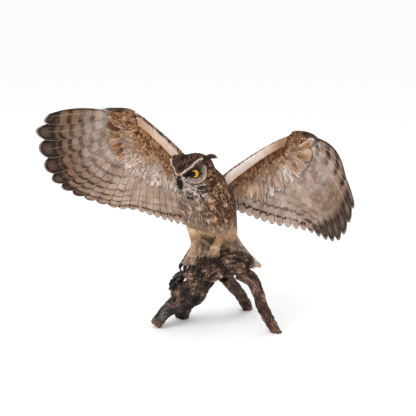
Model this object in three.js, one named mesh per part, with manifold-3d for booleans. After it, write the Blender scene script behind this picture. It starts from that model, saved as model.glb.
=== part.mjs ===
// A painted cast-resin statue of a horned owl, wings spread, landing on a driftwood base.
// Millimetres. +Z is up, -Y is the side the breast faces, +X is the bird's left.
// Every sub-part is one closed solid, parted from its neighbours by thin cuts.

import * as THREE from 'three';
import { LoftGeometry } from 'three/addons/geometries/LoftGeometry.js';
import { mergeVertices } from 'three/addons/utils/BufferGeometryUtils.js';
import Module from 'manifold-3d';

const wasm = await Module();
wasm.setup();
const { Manifold, Mesh } = wasm;

// ---- Driving dimensions -------------------------------------------------------------

const CUT = 0.3;              // width of the thin cut between neighbouring pieces

// Body: stations [x, y, z, half width, half depth] from rump to nape.
const TORSO = [
  [-5, 48, 126, 24, 7],
  [-5, 40, 143, 38, 18],
  [-5, 27, 166, 43, 31],
  [-5, 13, 191, 46, 40],
  [-5, 3, 214, 46, 40],
  [-5, -7, 234, 40, 36],
  [-5.5, -17, 248, 33, 31],
  [-6, -28, 260, 27, 26],
];
const NECK_FLOOR = 240;       // the neck is parted from the trunk at this height

// Head: a closed form through named landmarks, [forward, sideways, up] from its centre.
// Sideways landmarks stand on both sides of the head.
const HEAD = {
  centre: [-6.2, -35, 261.3],
  turn: 12,                   // degrees the face is turned to the bird's right
  nod: 2,                     // degrees the face is tipped down
  tilt: -8.4,                 // degrees the bird's left side is raised
  reach: 13,                  // how tightly the form follows one landmark
  landmarks: [
    [40, 0, 5], [36, 0, 14], [38, 0, -6], [35, 0, -19], [22, 0, -29],
    [32, 11, 12], [23, 24, 20], [16, 31, 25], [22, 17, 31],
    [18.5, 15.5, 4.4], [28, 14, -6], [25, 18, -16], [13, 33, 3], [10, 29, -18],
    [2, 0, 33], [-20, 0, 25], [-10, 22, 25], [-32, 0, 0], [-22, 25, 2],
    [0, 36, 4], [-25, 0, -24], [-8, 28, -22], [0, 0, -32],
  ],
};
const EYE = {
  place: [17.2, 14.5, 3.4],   // centre of the eyeball in the head
  radius: 9.2,
};
const BEAK = [                // ridge line in the head: forward, up, half width, half depth
  [34, 5, 3.2, 4.0],
  [36.5, 0, 5.0, 6.0],
  [37.5, -6, 4.6, 6.0],
  [38.5, -12, 3.0, 4.2],
  [38.6, -17, 1.2, 1.6],
];
const TUFT = [                // brow end to tuft tip in the head: forward, sideways, up, half sizes
  [16, 30, 20, 8, 4.5],
  [7, 34.5, 23.5, 7, 4],
  [-3, 36.5, 25.5, 4.5, 3],
  [-11, 37, 26, 1.6, 1.4],
];

// Wings: stations across the fan. Feather 0 is the outermost primary, 9 the last primary,
// 18 the innermost secondary, 20 the shoulder. Each station holds the leading edge,
// the feather's root, its mid-shaft and its tip.
const WING_RIGHT = [
  { feather: 0, lead: [-185, 0, 347], root: [-180, 11, 339], mid: [-233, -7, 339], tip: [-277, -41, 333] },
  { feather: 1, lead: [-180, 2, 347], root: [-179, 14, 331], mid: [-243, -7, 311], tip: [-292, -48, 311] },
  { feather: 4, lead: [-163, 9, 344], root: [-165, 20, 312], mid: [-230, -2, 252], tip: [-267, -41, 227] },
  { feather: 9, lead: [-136, 16, 342], root: [-140, 25, 296], mid: [-166, 15, 222], tip: [-173, -8, 184] },
  { feather: 13, lead: [-102, 15, 316], root: [-108, 22, 278], mid: [-116, 20, 222], tip: [-110, 6, 174] },
  { feather: 18, lead: [-50, 5, 279], root: [-63, 13, 253], mid: [-63, 18, 218], tip: [-50, 14, 163] },
  { feather: 20, lead: [-28, 4, 252], root: [-34, 10, 238], mid: [-34, 12, 212], tip: [-34, 12, 172] },
];
const WING_LEFT = [
  { feather: 0, lead: [161, 24, 326], root: [151, 28, 315], mid: [204, 5, 297], tip: [239, -30, 260] },
  { feather: 1, lead: [156, 25, 328], root: [147, 30, 310], mid: [208, 4, 280], tip: [249, -31, 236] },
  { feather: 4, lead: [142, 29, 330], root: [136, 35, 298], mid: [187, 8, 246], tip: [225, -22, 179] },
  { feather: 9, lead: [121, 35, 325], root: [114, 41, 286], mid: [137, 24, 242], tip: [161, 3, 181] },
  { feather: 13, lead: [84, 28, 300], root: [86, 40, 271], mid: [94, 33, 235], tip: [103, 16, 181] },
  { feather: 18, lead: [36, 19, 265], root: [46, 35, 244], mid: [39, 34, 223], tip: [37, 22, 194] },
  { feather: 20, lead: [20, 10, 250], root: [26, 20, 234], mid: [24, 22, 215], tip: [20, 16, 196] },
];
const PRIMARIES = 10;
const FEATHERS = 19;
const PER_FEATHER = 3;        // sections of a fan for each feather
const COVERT_END = 0.42;      // how far along the feathers the coverts' thick part reaches
const WING_CORE = [5, 16];    // thickness of arm and hand, from the hand's end to the shoulder
const COVERT_RIM = 3.4;       // thickness where the coverts end
const VANE = [2.6, 1.5];      // thickness of the fan at the coverts and at the tips
const NOTCH = [0.11, 0.05];   // gap between feather tips over feather length, outer and inner
const SHORT_FEATHER = { at: 11, spread: 1.3 };   // a dip in the row of tips at the inner hand
const ALULA_RIGHT = [          // [x, y, z, half width, half depth] along the thumb's feathers
  [-138, 20, 340, 3, 2],
  [-152, 19, 342, 5, 2.5],
  [-174, 13, 345, 4.5, 2],
  [-197, 4, 348, 1.5, 1],
];
const ALULA_LEFT = [
  [126, 39, 326, 3, 2],
  [138, 38, 329, 5, 2.5],
  [159, 36, 327, 4.5, 2],
  [181, 28, 319, 1.5, 1],
];

// Tail: a fan of twelve feathers hanging behind the perch.
const TAIL = { feathers: 12, thickness: 3, notch: 0.05, rootRow: 0.12 };
const TAIL_EDGES = [          // side -1 is the bird's right edge of the tail, +1 its left
  { side: -1, root: [-38, 41, 146], mid: [-53, 46, 118], tip: [-71, 50, 90] },
  { side: 0, root: [-3, 52, 144], mid: [0, 62, 108], tip: [3, 62, 76] },
  { side: 1, root: [33, 41, 150], mid: [50, 46, 123], tip: [77, 50, 97] },
];

// Legs and feet: [x, y, z, half width, half depth] down each leg.
const LEG_RIGHT = [
  [-22, 2, 166, 17, 20],
  [-23, 2, 152, 11, 13],
  [-23, 0, 138, 7.5, 8],
  [-23, -8, 124, 7, 7.5],
];
const LEG_LEFT = [
  [12, 15, 166, 16, 19],
  [13, 17, 152, 10, 12],
  [13, 13, 142, 7.5, 8],
  [13, 2, 136, 7, 7.5],
];
const FOOT_RIGHT = { heel: [-23, -9, 119], turn: -4 };
const FOOT_LEFT = { heel: [13, -2, 134], turn: 8 };
const PAD = 8.5;
const TOES = [                // angle from straight ahead, length and half thickness
  { spread: -30, length: 20, girth: 5 },
  { spread: 0, length: 23, girth: 5.4 },
  { spread: 32, length: 20, girth: 5 },
  { spread: 180, length: 16, girth: 4.8 },
];
const CLAW_LENGTH = 11;

// Driftwood base: [x, y, z, half width, half depth] along each limb.
const LOG = [
  [-37, -4, 86, 9, 9],
  [-24, -3, 88, 18, 18],
  [4, 1, 99, 23, 23],
  [34, 5, 110, 22, 22],
  [60, 9, 115, 19, 17],
  [74, 12, 120, 8, 8],
];
const KNOT = [
  [2, 3, 84, 13, 14],
  [-20, -2, 64, 20, 21],
  [-40, -5, 44, 23, 23],
  [-50, 6, 24, 15.5, 17],
  [-57, 20, -8, 9, 10],
];
const CURL = [
  [-51, -10, 52, 7, 8],
  [-57, -8, 66, 7.5, 8],
  [-55, -6, 79, 7.5, 7],
  [-46, -4, 87, 5.5, 5.5],
  [-40, -4, 89, 4, 4],
];
const BRANCH_FRONT = [
  [-46, -12, 40, 14, 14],
  [-58, -26, 31, 12, 12],
  [-68, -35, 17, 9, 9],
  [-76, -42, 3, 8.5, 8.5],
];
const LEG_SIDE = [
  [50, 9, 97, 12, 13],
  [70, 13, 87, 12, 12],
  [81, 16, 64, 10.5, 10],
  [88, 18, 42, 10, 10],
  [100, 20, 20, 9, 9],
  [118, 20, -8, 7.5, 8],
];
const LEG_BACK = [
  [20, 22, 82, 12, 12],
  [24, 44, 60, 11, 11],
  [27, 70, 38, 10, 10],
  [28, 92, 14, 10, 10],
  [28, 104, -8, 9, 9],
];
const GNARL = 0.07;           // how far the wood's girth swells and sinks

// ---- Small helpers --------------------------------------------------------------------

const vector = (p) => new THREE.Vector3(p[0], p[1], p[2]);
const degrees = THREE.MathUtils.degToRad;
const mix = THREE.MathUtils.lerp;
const clamp01 = (x) => THREE.MathUtils.clamp(x, 0, 1);

// Closed solid from a three.js geometry, with its faces turned outwards.
function solid(geometry) {
  const bare = new THREE.BufferGeometry();
  bare.setAttribute('position', geometry.attributes.position);
  bare.setIndex(geometry.index);
  const merged = mergeVertices(bare, 1e-4);
  const points = merged.attributes.position.array;
  const corners = [];
  let volume = 0;
  for (let k = 0; k < merged.index.count; k += 3) {
    const [a, b, c] = [0, 1, 2].map((j) => merged.index.array[k + j]);
    if (a === b || b === c || c === a) continue;
    corners.push(a, b, c);
    const [p, q, r] = [a, b, c].map((j) => new THREE.Vector3().fromArray(points, 3 * j));
    volume += p.dot(q.cross(r));
  }
  if (volume < 0) corners.reverse();
  return new Manifold(new Mesh({
    numProp: 3,
    vertProperties: new Float32Array(points),
    triVerts: new Uint32Array(corners),
  }));
}

// Closed solid skinned over rings of points, with flat ends unless the end rings are already
// flattened shut. The rings are put in the order that winds outwards: their areas face the
// way the loft runs.
function loft(rings, capped = true) {
  const middle = (ring) => ring.reduce((sum, p) => sum.add(p), new THREE.Vector3()).divideScalar(ring.length);
  let forwards = 0;
  for (let i = 1; i < rings.length; i++) {
    const ring = rings[i - 1];
    const centre = middle(ring);
    const step = middle(rings[i]).sub(centre);
    ring.forEach((p, j) => {
      const q = ring[(j + 1) % ring.length].clone().sub(centre);
      forwards += p.clone().sub(centre).cross(q).dot(step);
    });
  }
  const sections = forwards > 0 ? rings : rings.map((ring) => [...ring].reverse());
  return solid(new LoftGeometry(sections, { capStart: capped, capEnd: capped }));
}

// The largest piece of a solid, so that a cut leaves no crumbs.
function largest(body) {
  return body.decompose().reduce((a, b) => (a.volume() > b.volume() ? a : b));
}

const without = (body, ...cutters) => largest(cutters.reduce((rest, cutter) => rest.subtract(cutter), body));

// Round limb through stations [x, y, z, half width, half depth]. Its sections are ellipses
// square to the path, with the width along `side`. `swell(angle, run)` scales the girth.
function limb(stations, { steps = 8, around = 14, grow = 0, side = [1, 0, 0], swell = () => 1 } = {}) {
  const path = new THREE.CatmullRomCurve3(stations.map(vector), false, 'catmullrom', 0.5);
  const sizes = new THREE.CatmullRomCurve3(
    stations.map((s) => new THREE.Vector3(s[3], s[4], 0)), false, 'catmullrom', 0.5);
  const sections = [];
  for (let i = 0; i <= steps; i++) {
    const run = i / steps;
    const centre = path.getPoint(run);
    const tangent = path.getTangent(run);
    if (i === 0) centre.addScaledVector(tangent, -grow);
    if (i === steps) centre.addScaledVector(tangent, grow);
    const size = sizes.getPoint(run);
    const across = vector(side).addScaledVector(tangent, -tangent.dot(vector(side))).normalize();
    const deep = new THREE.Vector3().crossVectors(tangent, across);
    sections.push(Array.from({ length: around }, (_, j) => {
      const angle = (j / around) * Math.PI * 2;
      const scale = swell(angle, run);
      return centre.clone()
        .addScaledVector(across, Math.cos(angle) * (size.x * scale + grow))
        .addScaledVector(deep, Math.sin(angle) * (size.y * scale + grow));
    }));
  }
  return loft(sections);
}

// Point on a smooth line through the stations' values of `key`, at an uneven spacing `by`.
function along(stations, by, key, at) {
  const last = stations.length - 2;
  const k = Math.min(last, Math.max(0, stations.findIndex((s) => s[by] > at) - 1));
  const from = at >= stations[last + 1][by] ? last : k;
  const slope = (j) => {
    const a = stations[Math.max(j - 1, 0)];
    const b = stations[Math.min(j + 1, stations.length - 1)];
    return vector(b[key]).sub(vector(a[key])).divideScalar(b[by] - a[by]);
  };
  const span = stations[from + 1][by] - stations[from][by];
  const s = (at - stations[from][by]) / span;
  return vector(stations[from][key]).multiplyScalar(2 * s ** 3 - 3 * s ** 2 + 1)
    .addScaledVector(vector(stations[from + 1][key]), 3 * s ** 2 - 2 * s ** 3)
    .addScaledVector(slope(from), span * (s ** 3 - 2 * s ** 2 + s))
    .addScaledVector(slope(from + 1), span * (s ** 3 - s ** 2));
}

// Point on a feathered surface: a parabola from root through mid-shaft to tip.
function vane(stations, by, at, run) {
  return along(stations, by, 'root', at).multiplyScalar((1 - run) * (1 - 2 * run))
    .addScaledVector(along(stations, by, 'mid', at), 4 * run * (1 - run))
    .addScaledVector(along(stations, by, 'tip', at), run * (2 * run - 1));
}

// Plate of varying thickness: `lines` are rows of mid-surface points, one row per section,
// and `thick(row, column)` is the thickness there. Both rims and both ends are square.
function plate(lines, thick) {
  const sections = lines.map((line, i) => {
    const before = lines[Math.max(i - 1, 0)];
    const after = lines[Math.min(i + 1, lines.length - 1)];
    const normals = line.map((_, j) => {
      const sideways = after[j].clone().sub(before[j]);
      const onward = line[Math.min(j + 1, line.length - 1)].clone().sub(line[Math.max(j - 1, 0)]);
      return sideways.cross(onward).normalize();
    });
    const near = line.map((p, j) => p.clone().addScaledVector(normals[j], thick(i, j) / 2));
    const far = line.map((p, j) => p.clone().addScaledVector(normals[j], -thick(i, j) / 2));
    return [...near, ...far.reverse()];
  });
  const shut = (line) => [...line, ...[...line].reverse()];
  return loft([shut(lines[0]), ...sections, shut(lines[lines.length - 1])], false);
}

// ---- Head -----------------------------------------------------------------------------

const headTurn = new THREE.Matrix4().makeRotationZ(-degrees(HEAD.turn))
  .multiply(new THREE.Matrix4().makeRotationX(degrees(HEAD.nod)))
  .multiply(new THREE.Matrix4().makeRotationY(degrees(HEAD.tilt)));

// A place in the head, [forward, sideways, up], as a place in the statue.
function inHead([forward, sideways, up]) {
  return new THREE.Vector3(sideways, -forward, up).applyMatrix4(headTurn).add(vector(HEAD.centre));
}

const headLandmarks = HEAD.landmarks
  .flatMap(([f, s, u]) => (s === 0 ? [[f, s, u]] : [[f, s, u], [f, -s, u]]))
  .map(vector);

// Distance from the head's centre to its surface: the landmarks' own distances,
// each weighted by how nearly the direction points at it.
function headRadius(direction) {
  let weights = 0;
  let sum = 0;
  for (const landmark of headLandmarks) {
    const reach = landmark.length();
    const weight = Math.exp(HEAD.reach * (direction.dot(landmark) / reach - 1) * 2);
    weights += weight;
    sum += weight * reach;
  }
  return sum / weights;
}

function headForm(grow = 0, rings = 12, around = 18) {
  const sections = [];
  for (let i = 0; i <= rings; i++) {
    const down = mix(0.03, Math.PI - 0.03, i / rings);
    sections.push(Array.from({ length: around }, (_, j) => {
      const turn = (j / around) * Math.PI * 2;
      const direction = new THREE.Vector3(
        Math.sin(down) * Math.cos(turn), Math.sin(down) * Math.sin(turn), Math.cos(down));
      return inHead(direction.clone().multiplyScalar(headRadius(direction) + grow).toArray());
    }));
  }
  return loft(sections);
}

function eyeBall(side, grow = 0) {
  const centre = inHead([EYE.place[0], side * EYE.place[1], EYE.place[2]]);
  return solid(new THREE.SphereGeometry(EYE.radius + grow, 12, 8).translate(...centre));
}

function beakForm(grow = 0) {
  const stations = BEAK.map(([forward, up, wide, deep]) => [...inHead([forward, 0, up]), wide, deep]);
  return limb(stations, { steps: 6, around: 10, grow });
}

function tuftForm(side) {
  const stations = TUFT.map(([forward, sideways, up, wide, deep]) => [
    ...inHead([forward, side * sideways, up]), wide, deep]);
  return limb(stations, { steps: 5, around: 8, side: [0, 1, 0] });
}

// ---- Wings ----------------------------------------------------------------------------

const wingPoint = (wing, feather, run) => vane(wing, 'feather', feather, run);
const wingLead = (wing, feather) => along(wing, 'feather', 'lead', feather);
const span = (feather) => clamp01(feather / (FEATHERS + 1));

// How far along its parabola the fan reaches beside feather number `feather`. `shortBy` is
// the share of its length that the short feather lacks.
function tipRun(feather, shortBy) {
  const offCentre = Math.abs(feather - Math.round(feather)) * 2;
  const notch = mix(NOTCH[0], NOTCH[1], clamp01(feather / PRIMARIES));
  const dip = shortBy * Math.exp(-(((feather - SHORT_FEATHER.at) / SHORT_FEATHER.spread) ** 2));
  return 1 - dip - notch * offCentre ** 2.4;
}

// Length that 1 along the parabola stands for beside a feather.
const shaftLength = (wing, feather) => wingPoint(wing, feather, 0).distanceTo(wingPoint(wing, feather, 1));

// Arm or hand: a plate from the leading edge over the feather roots to the coverts' rim.
function wingCore(wing, from, to, steps, grow = 0) {
  const lines = [];
  const girths = [];
  for (let i = 0; i <= steps; i++) {
    const feather = mix(from, to, i / steps);
    const lead = wingLead(wing, feather);
    const root = wingPoint(wing, feather, 0);
    const front = lead.clone().sub(root).normalize();
    const rim = COVERT_END + (2 * grow - CUT) / shaftLength(wing, feather);
    lines.push([
      lead.clone().addScaledVector(front, grow),
      lead.clone().lerp(root, 0.22),
      root,
      wingPoint(wing, feather, COVERT_END * 0.5),
      wingPoint(wing, feather, rim),
    ]);
    const girth = mix(WING_CORE[0], WING_CORE[1], span(feather) ** 1.4);
    girths.push([girth * 0.45, girth, girth * 0.95, mix(girth, COVERT_RIM, 0.7), COVERT_RIM]);
  }
  return plate(lines, (i, j) => girths[i][j] + 2 * grow);
}

// Fan of feathers from the coverts' rim to the scalloped tips.
function wingFan(wing, from, to, shortBy) {
  const steps = Math.round((to - from) * PER_FEATHER);
  const lines = [];
  const rows = 3;
  for (let i = 0; i <= steps; i++) {
    const feather = mix(from, to, i / steps);
    const end = tipRun(feather, shortBy);
    lines.push(Array.from({ length: rows }, (_, j) => (
      wingPoint(wing, feather, mix(COVERT_END, end, j / (rows - 1))))));
  }
  return plate(lines, (i, j) => mix(VANE[0], VANE[1], j / (rows - 1)));
}

// ---- Tail -----------------------------------------------------------------------------

function tailFan() {
  const steps = TAIL.feathers * PER_FEATHER;
  const rows = 3;
  const lines = [];
  for (let i = 0; i <= steps; i++) {
    const side = mix(-1, 1, i / steps);
    const feather = i / PER_FEATHER - 0.5;
    const offCentre = Math.abs(feather - Math.round(feather)) * 2;
    const end = 1 - TAIL.notch * offCentre ** 2.4;
    lines.push(Array.from({ length: rows }, (_, j) => (
      vane(TAIL_EDGES, 'side', side, mix(TAIL.rootRow, end, j / (rows - 1))))));
  }
  return plate(lines, (i, j) => mix(TAIL.thickness * 1.6, TAIL.thickness * 0.6, j / (rows - 1)));
}

// ---- Feet -----------------------------------------------------------------------------

// One toe with its claw: out from the pad, over the bark and down. `turn` is the way
// the foot points, in degrees to the bird's left.
function toe({ spread, length, girth }, foot) {
  const heading = degrees(foot.turn + spread);
  const out = new THREE.Vector3(Math.sin(heading), -Math.cos(heading), 0);
  const [x, y, z] = foot.heel;
  const at = (reach, drop, size) => [x + out.x * reach, y + out.y * reach, z - drop, size, size];
  const stations = [
    at(0, 2, girth),
    at(length * 0.45, 3.5, girth),
    at(length * 0.8, 6, girth * 0.95),
    at(length, 10, girth * 0.8),
    at(length + CLAW_LENGTH * 0.35, 15, 2.2),
    at(length + CLAW_LENGTH * 0.3, 15 + CLAW_LENGTH * 0.6, 0.7),
  ];
  const side = [Math.cos(heading), Math.sin(heading), 0];
  return limb(stations, { steps: 5, around: 6, side });
}

function footForm(foot) {
  const pad = solid(new THREE.SphereGeometry(PAD, 8, 5)
    .scale(1, 1.05, 0.75).translate(foot.heel[0], foot.heel[1], foot.heel[2] - 2));
  return TOES.reduce((whole, one) => whole.add(toe(one, foot)), pad);
}

// ---- Driftwood ------------------------------------------------------------------------

// Gnarled girth: three ridges that wind along the limb, crossed by five weaker ones.
function gnarled(phase) {
  return (angle, run) => {
    const ridges = Math.sin(3 * angle + 5 * run + phase);
    const cross = Math.sin(5 * angle - 11 * run + 2 * phase);
    return 1 + GNARL * (ridges + 0.7 * cross);
  };
}

const wood = (stations, phase, { steps = 9, around = 14, side = [0, 1, 0], grow = 0 } = {}) => (
  limb(stations, { steps, around, side, grow, swell: gnarled(phase) }));

const floorBlock = solid(new THREE.BoxGeometry(800, 800, 100).translate(0, 0, -50));

// ---- Cutting the pieces apart ---------------------------------------------------------

const head = headForm();
const headGrown = headForm(CUT);
const torso = limb(TORSO, { steps: 12, around: 18 });
const torsoGrown = limb(TORSO, { steps: 12, around: 18, grow: CUT });
const belowNeck = solid(new THREE.BoxGeometry(400, 400, 400).translate(0, 0, NECK_FLOOR - 200));
const aboveTrunk = solid(new THREE.BoxGeometry(400, 400, 400).translate(0, 0, NECK_FLOOR - CUT + 200));
const eyes = { left: eyeBall(1), right: eyeBall(-1) };
const eyesGrown = eyeBall(1, CUT).add(eyeBall(-1, CUT));
const beakGrown = beakForm(CUT);

const log = wood(LOG, 0.4, { steps: 12, around: 14 });
const logGrown = wood(LOG, 0.4, { steps: 12, around: 14, grow: CUT });
const knot = without(wood(KNOT, 1.9, { steps: 9, around: 12 }), logGrown, floorBlock);
const knotGrown = wood(KNOT, 1.9, { steps: 9, around: 12, grow: CUT });

const legs = {
  right: limb(LEG_RIGHT, { steps: 6, around: 12 }),
  left: limb(LEG_LEFT, { steps: 6, around: 12 }),
};
const legsGrown = {
  right: limb(LEG_RIGHT, { steps: 6, around: 12, grow: CUT }),
  left: limb(LEG_LEFT, { steps: 6, around: 12, grow: CUT }),
};

const wings = {
  right: { stations: WING_RIGHT, alula: ALULA_RIGHT, shortBy: 0.06 },
  left: { stations: WING_LEFT, alula: ALULA_LEFT, shortBy: 0 },
};
const OUTER_EDGE = -0.38;     // the outermost primary's outer edge, in feathers
const WRIST = PRIMARIES - 0.5;
const SPLIT = 0.03;           // half the cut at the wrist, in feathers

// ---- Finishes -------------------------------------------------------------------------

const paint = (color, roughness = 0.55) => new THREE.MeshStandardMaterial({ color, roughness, metalness: 0 });
const finishes = {
  brown: paint(0x6d5440),
  buff: paint(0xb89a7c),
  vane: paint(0xb3a294),
  peach: paint(0xd2a679),
  black: paint(0x17120f, 0.35),
  amber: paint(0xe0a010, 0.08),
  bark: paint(0x3a2a22, 0.7),
};

// ---- The statue -----------------------------------------------------------------------

const group = new THREE.Group();

function place(name, body, material) {
  const { vertProperties, triVerts, numProp } = body.getMesh();
  const positions = new Float32Array((vertProperties.length / numProp) * 3);
  for (let k = 0; k < positions.length / 3; k++) {
    for (let axis = 0; axis < 3; axis++) positions[3 * k + axis] = vertProperties[numProp * k + axis];
  }
  const geometry = new THREE.BufferGeometry();
  geometry.setAttribute('position', new THREE.BufferAttribute(positions, 3));
  geometry.setIndex(new THREE.BufferAttribute(new Uint32Array(triVerts), 1));
  geometry.computeVertexNormals();
  const mesh = new THREE.Mesh(geometry, material);
  mesh.name = name;
  group.add(mesh);
}

place('head', without(head, eyesGrown, beakGrown), finishes.brown);
place('beak', largest(beakForm()), finishes.black);
place('neck', without(torso, headGrown, belowNeck), finishes.buff);
place('trunk', without(torso, headGrown, aboveTrunk), finishes.buff);
place('tail', without(tailFan(), torsoGrown, legsGrown.left, legsGrown.right, logGrown), finishes.vane);

for (const [side, sign] of [['right', -1], ['left', 1]]) {
  place(`eye_${side}`, eyes[side], finishes.amber);
  place(`ear_tuft_${side}`, without(tuftForm(sign), headGrown), finishes.brown);

  const foot = side === 'right' ? FOOT_RIGHT : FOOT_LEFT;
  place(`leg_${side}`, without(legs[side], torsoGrown), finishes.peach);
  place(`foot_${side}`, without(footForm(foot), legsGrown[side], logGrown), finishes.peach);

  const { stations, alula, shortBy } = wings[side];
  const body = [torsoGrown, headGrown];
  const handGrown = wingCore(stations, OUTER_EDGE - SPLIT, WRIST, 8, CUT);
  const armGrown = wingCore(stations, WRIST, 20, 8, CUT);
  const hand = wingCore(stations, OUTER_EDGE, WRIST - SPLIT, 8);
  const arm = without(wingCore(stations, WRIST + SPLIT, 20, 8), handGrown, ...body);
  const secondaries = wingFan(stations, WRIST + SPLIT, FEATHERS - 0.5, shortBy);
  place(`wing_${side}_arm`, arm, finishes.buff);
  place(`wing_${side}_hand`, hand, finishes.buff);
  const primaries = wingFan(stations, OUTER_EDGE, WRIST - SPLIT, shortBy);
  place(`wing_${side}_primaries`, without(primaries, handGrown, armGrown), finishes.vane);
  place(`wing_${side}_secondaries`, without(secondaries, handGrown, armGrown, ...body), finishes.vane);
  place(`alula_${side}`,
    without(limb(alula, { steps: 5, around: 6, side: [0, 0, 1] }), handGrown.add(armGrown)), finishes.brown);
}

const curl = wood(CURL, 0.9, { around: 8, steps: 7 });
const branchFront = wood(BRANCH_FRONT, 2.6, { around: 10, steps: 6 });
const legSide = wood(LEG_SIDE, 3.3, { around: 10, steps: 10 });
const legBack = wood(LEG_BACK, 4.2, { around: 10, steps: 8, side: [1, 0, 0] });
place('driftwood_log', log, finishes.bark);
place('driftwood_knot', knot, finishes.bark);
place('driftwood_curl', without(curl, logGrown, knotGrown), finishes.bark);
place('driftwood_branch_front', without(branchFront, knotGrown, floorBlock), finishes.bark);
place('driftwood_leg_side', without(legSide, logGrown, floorBlock), finishes.bark);
place('driftwood_leg_back', without(legBack, logGrown, knotGrown, floorBlock), finishes.bark);

// The origin is the middle of the whole statue's footprint box, on the floor.
const bounds = new THREE.Box3().setFromObject(group);
const middle = bounds.getCenter(new THREE.Vector3());
group.position.set(-middle.x, -middle.y, -bounds.min.z);

export default group;
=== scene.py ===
"""Looks of a hand-painted cast-resin owl statue on a driftwood base.

Shapes are worked out in millimetres in the modeller's frame (+Z up, the breast faces -Y, +X is the
bird's left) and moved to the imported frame, in metres, as each piece is made.
"""

import bmesh
import bpy
import numpy as np
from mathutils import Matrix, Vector
from mathutils.bvhtree import BVHTree


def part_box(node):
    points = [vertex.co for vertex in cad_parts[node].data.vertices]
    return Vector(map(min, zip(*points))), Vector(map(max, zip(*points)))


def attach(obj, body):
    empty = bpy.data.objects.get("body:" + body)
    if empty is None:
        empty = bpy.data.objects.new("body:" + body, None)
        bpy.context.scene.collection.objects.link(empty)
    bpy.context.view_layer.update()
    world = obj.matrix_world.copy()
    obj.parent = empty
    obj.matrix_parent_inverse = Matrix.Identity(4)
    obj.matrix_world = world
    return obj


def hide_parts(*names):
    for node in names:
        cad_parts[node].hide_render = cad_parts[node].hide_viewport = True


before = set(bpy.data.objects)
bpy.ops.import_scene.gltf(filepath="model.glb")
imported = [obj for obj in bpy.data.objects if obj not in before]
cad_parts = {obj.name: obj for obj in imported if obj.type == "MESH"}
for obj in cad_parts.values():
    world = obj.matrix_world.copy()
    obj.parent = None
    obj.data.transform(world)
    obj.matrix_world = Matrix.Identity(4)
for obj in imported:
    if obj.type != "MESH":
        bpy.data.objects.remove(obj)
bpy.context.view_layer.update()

# ---- Driving dimensions, millimetres --------------------------------------------------------

# Body: stations [x, y, z, half width, half depth] from rump to nape.
TORSO = [
    [-5, 48, 126, 24, 7],
    [-5, 40, 143, 38, 18],
    [-5, 27, 166, 43, 31],
    [-5, 13, 191, 46, 40],
    [-5, 3, 214, 46, 40],
    [-5, -7, 234, 40, 36],
    [-5.5, -17, 248, 33, 31],
    [-6, -28, 260, 27, 26],
]

# Head: landmarks are [forward, sideways, up] from its centre; sideways ones stand on both sides.
HEAD_CENTRE = [-6.2, -35, 261.3]
HEAD_TURN = 12                # degrees the face is turned to the bird's right
HEAD_NOD = 2                  # degrees it is nodded down
HEAD_TILT = -8.4              # degrees it leans to the bird's left
HEAD_REACH = 26               # how tightly the form follows one landmark
LANDMARKS = [
    [40, 0, 5], [36, 0, 14], [38, 0, -6], [35, 0, -19], [22, 0, -29],
    [32, 11, 12], [23, 24, 20], [16, 31, 25], [22, 17, 31],
    [18.5, 15.5, 4.4], [28, 14, -6], [25, 18, -16], [13, 33, 3], [10, 29, -18],
    [2, 0, 33], [-20, 0, 25], [-10, 22, 25], [-32, 0, 0], [-22, 25, 2],
    [0, 36, 4], [-25, 0, -24], [-8, 28, -22], [0, 0, -32],
]
EYE_NODE = [17.2, 14.5, 3.4]  # centre of the eye's node in the head
EYE = [17.3, 14.9, 4.9]       # centre of the painted eyeball
EYE_RADIUS = 9.0
EYE_FACING = [0.72, 0.68, 0.15]   # middle of the lids' opening, seen from the eyeball's centre
BEAK = [                      # ridge line in the head: forward, up, half width, half depth
    [32, 4.5, 3.6, 3.4],
    [36.4, 1, 5.0, 4.8],
    [38.4, -5, 5.2, 5.4],
    [38.8, -11, 3.9, 4.3],
    [36.8, -17, 0.9, 1.0],
]
BILL_MIDDLE = [38, 0, -4]      # in the head
LOWER_BEAK = [[31, -9, 2.8, 1.6], [34.4, -12.0, 2.6, 1.5], [36.4, -14.4, 1.4, 0.9]]
BROW = [[40.7, 0, 5.6], [37.5, 5.5, 8.2], [32, 11, 12.4], [27, 17.5, 17], [20.5, 24.3, 23],
        [12, 32, 28.5], [5, 35.5, 29]]
DISC = [[16, 31, 22], [12.5, 33, 13], [12, 33, 3], [16.5, 28.5, -8], [24.3, 18.5, -16.5], [31, 8, -20.5]]
TUFT = [                      # brow end to tuft tip in the head: forward, sideways, up, half sizes
    [15, 30.5, 24, 6.5, 4.5],
    [7, 34, 26.5, 6.5, 4.5],
    [-1, 37, 27, 6, 4.2],
    [-8, 38.5, 25, 3.6, 2.6],
]

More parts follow.
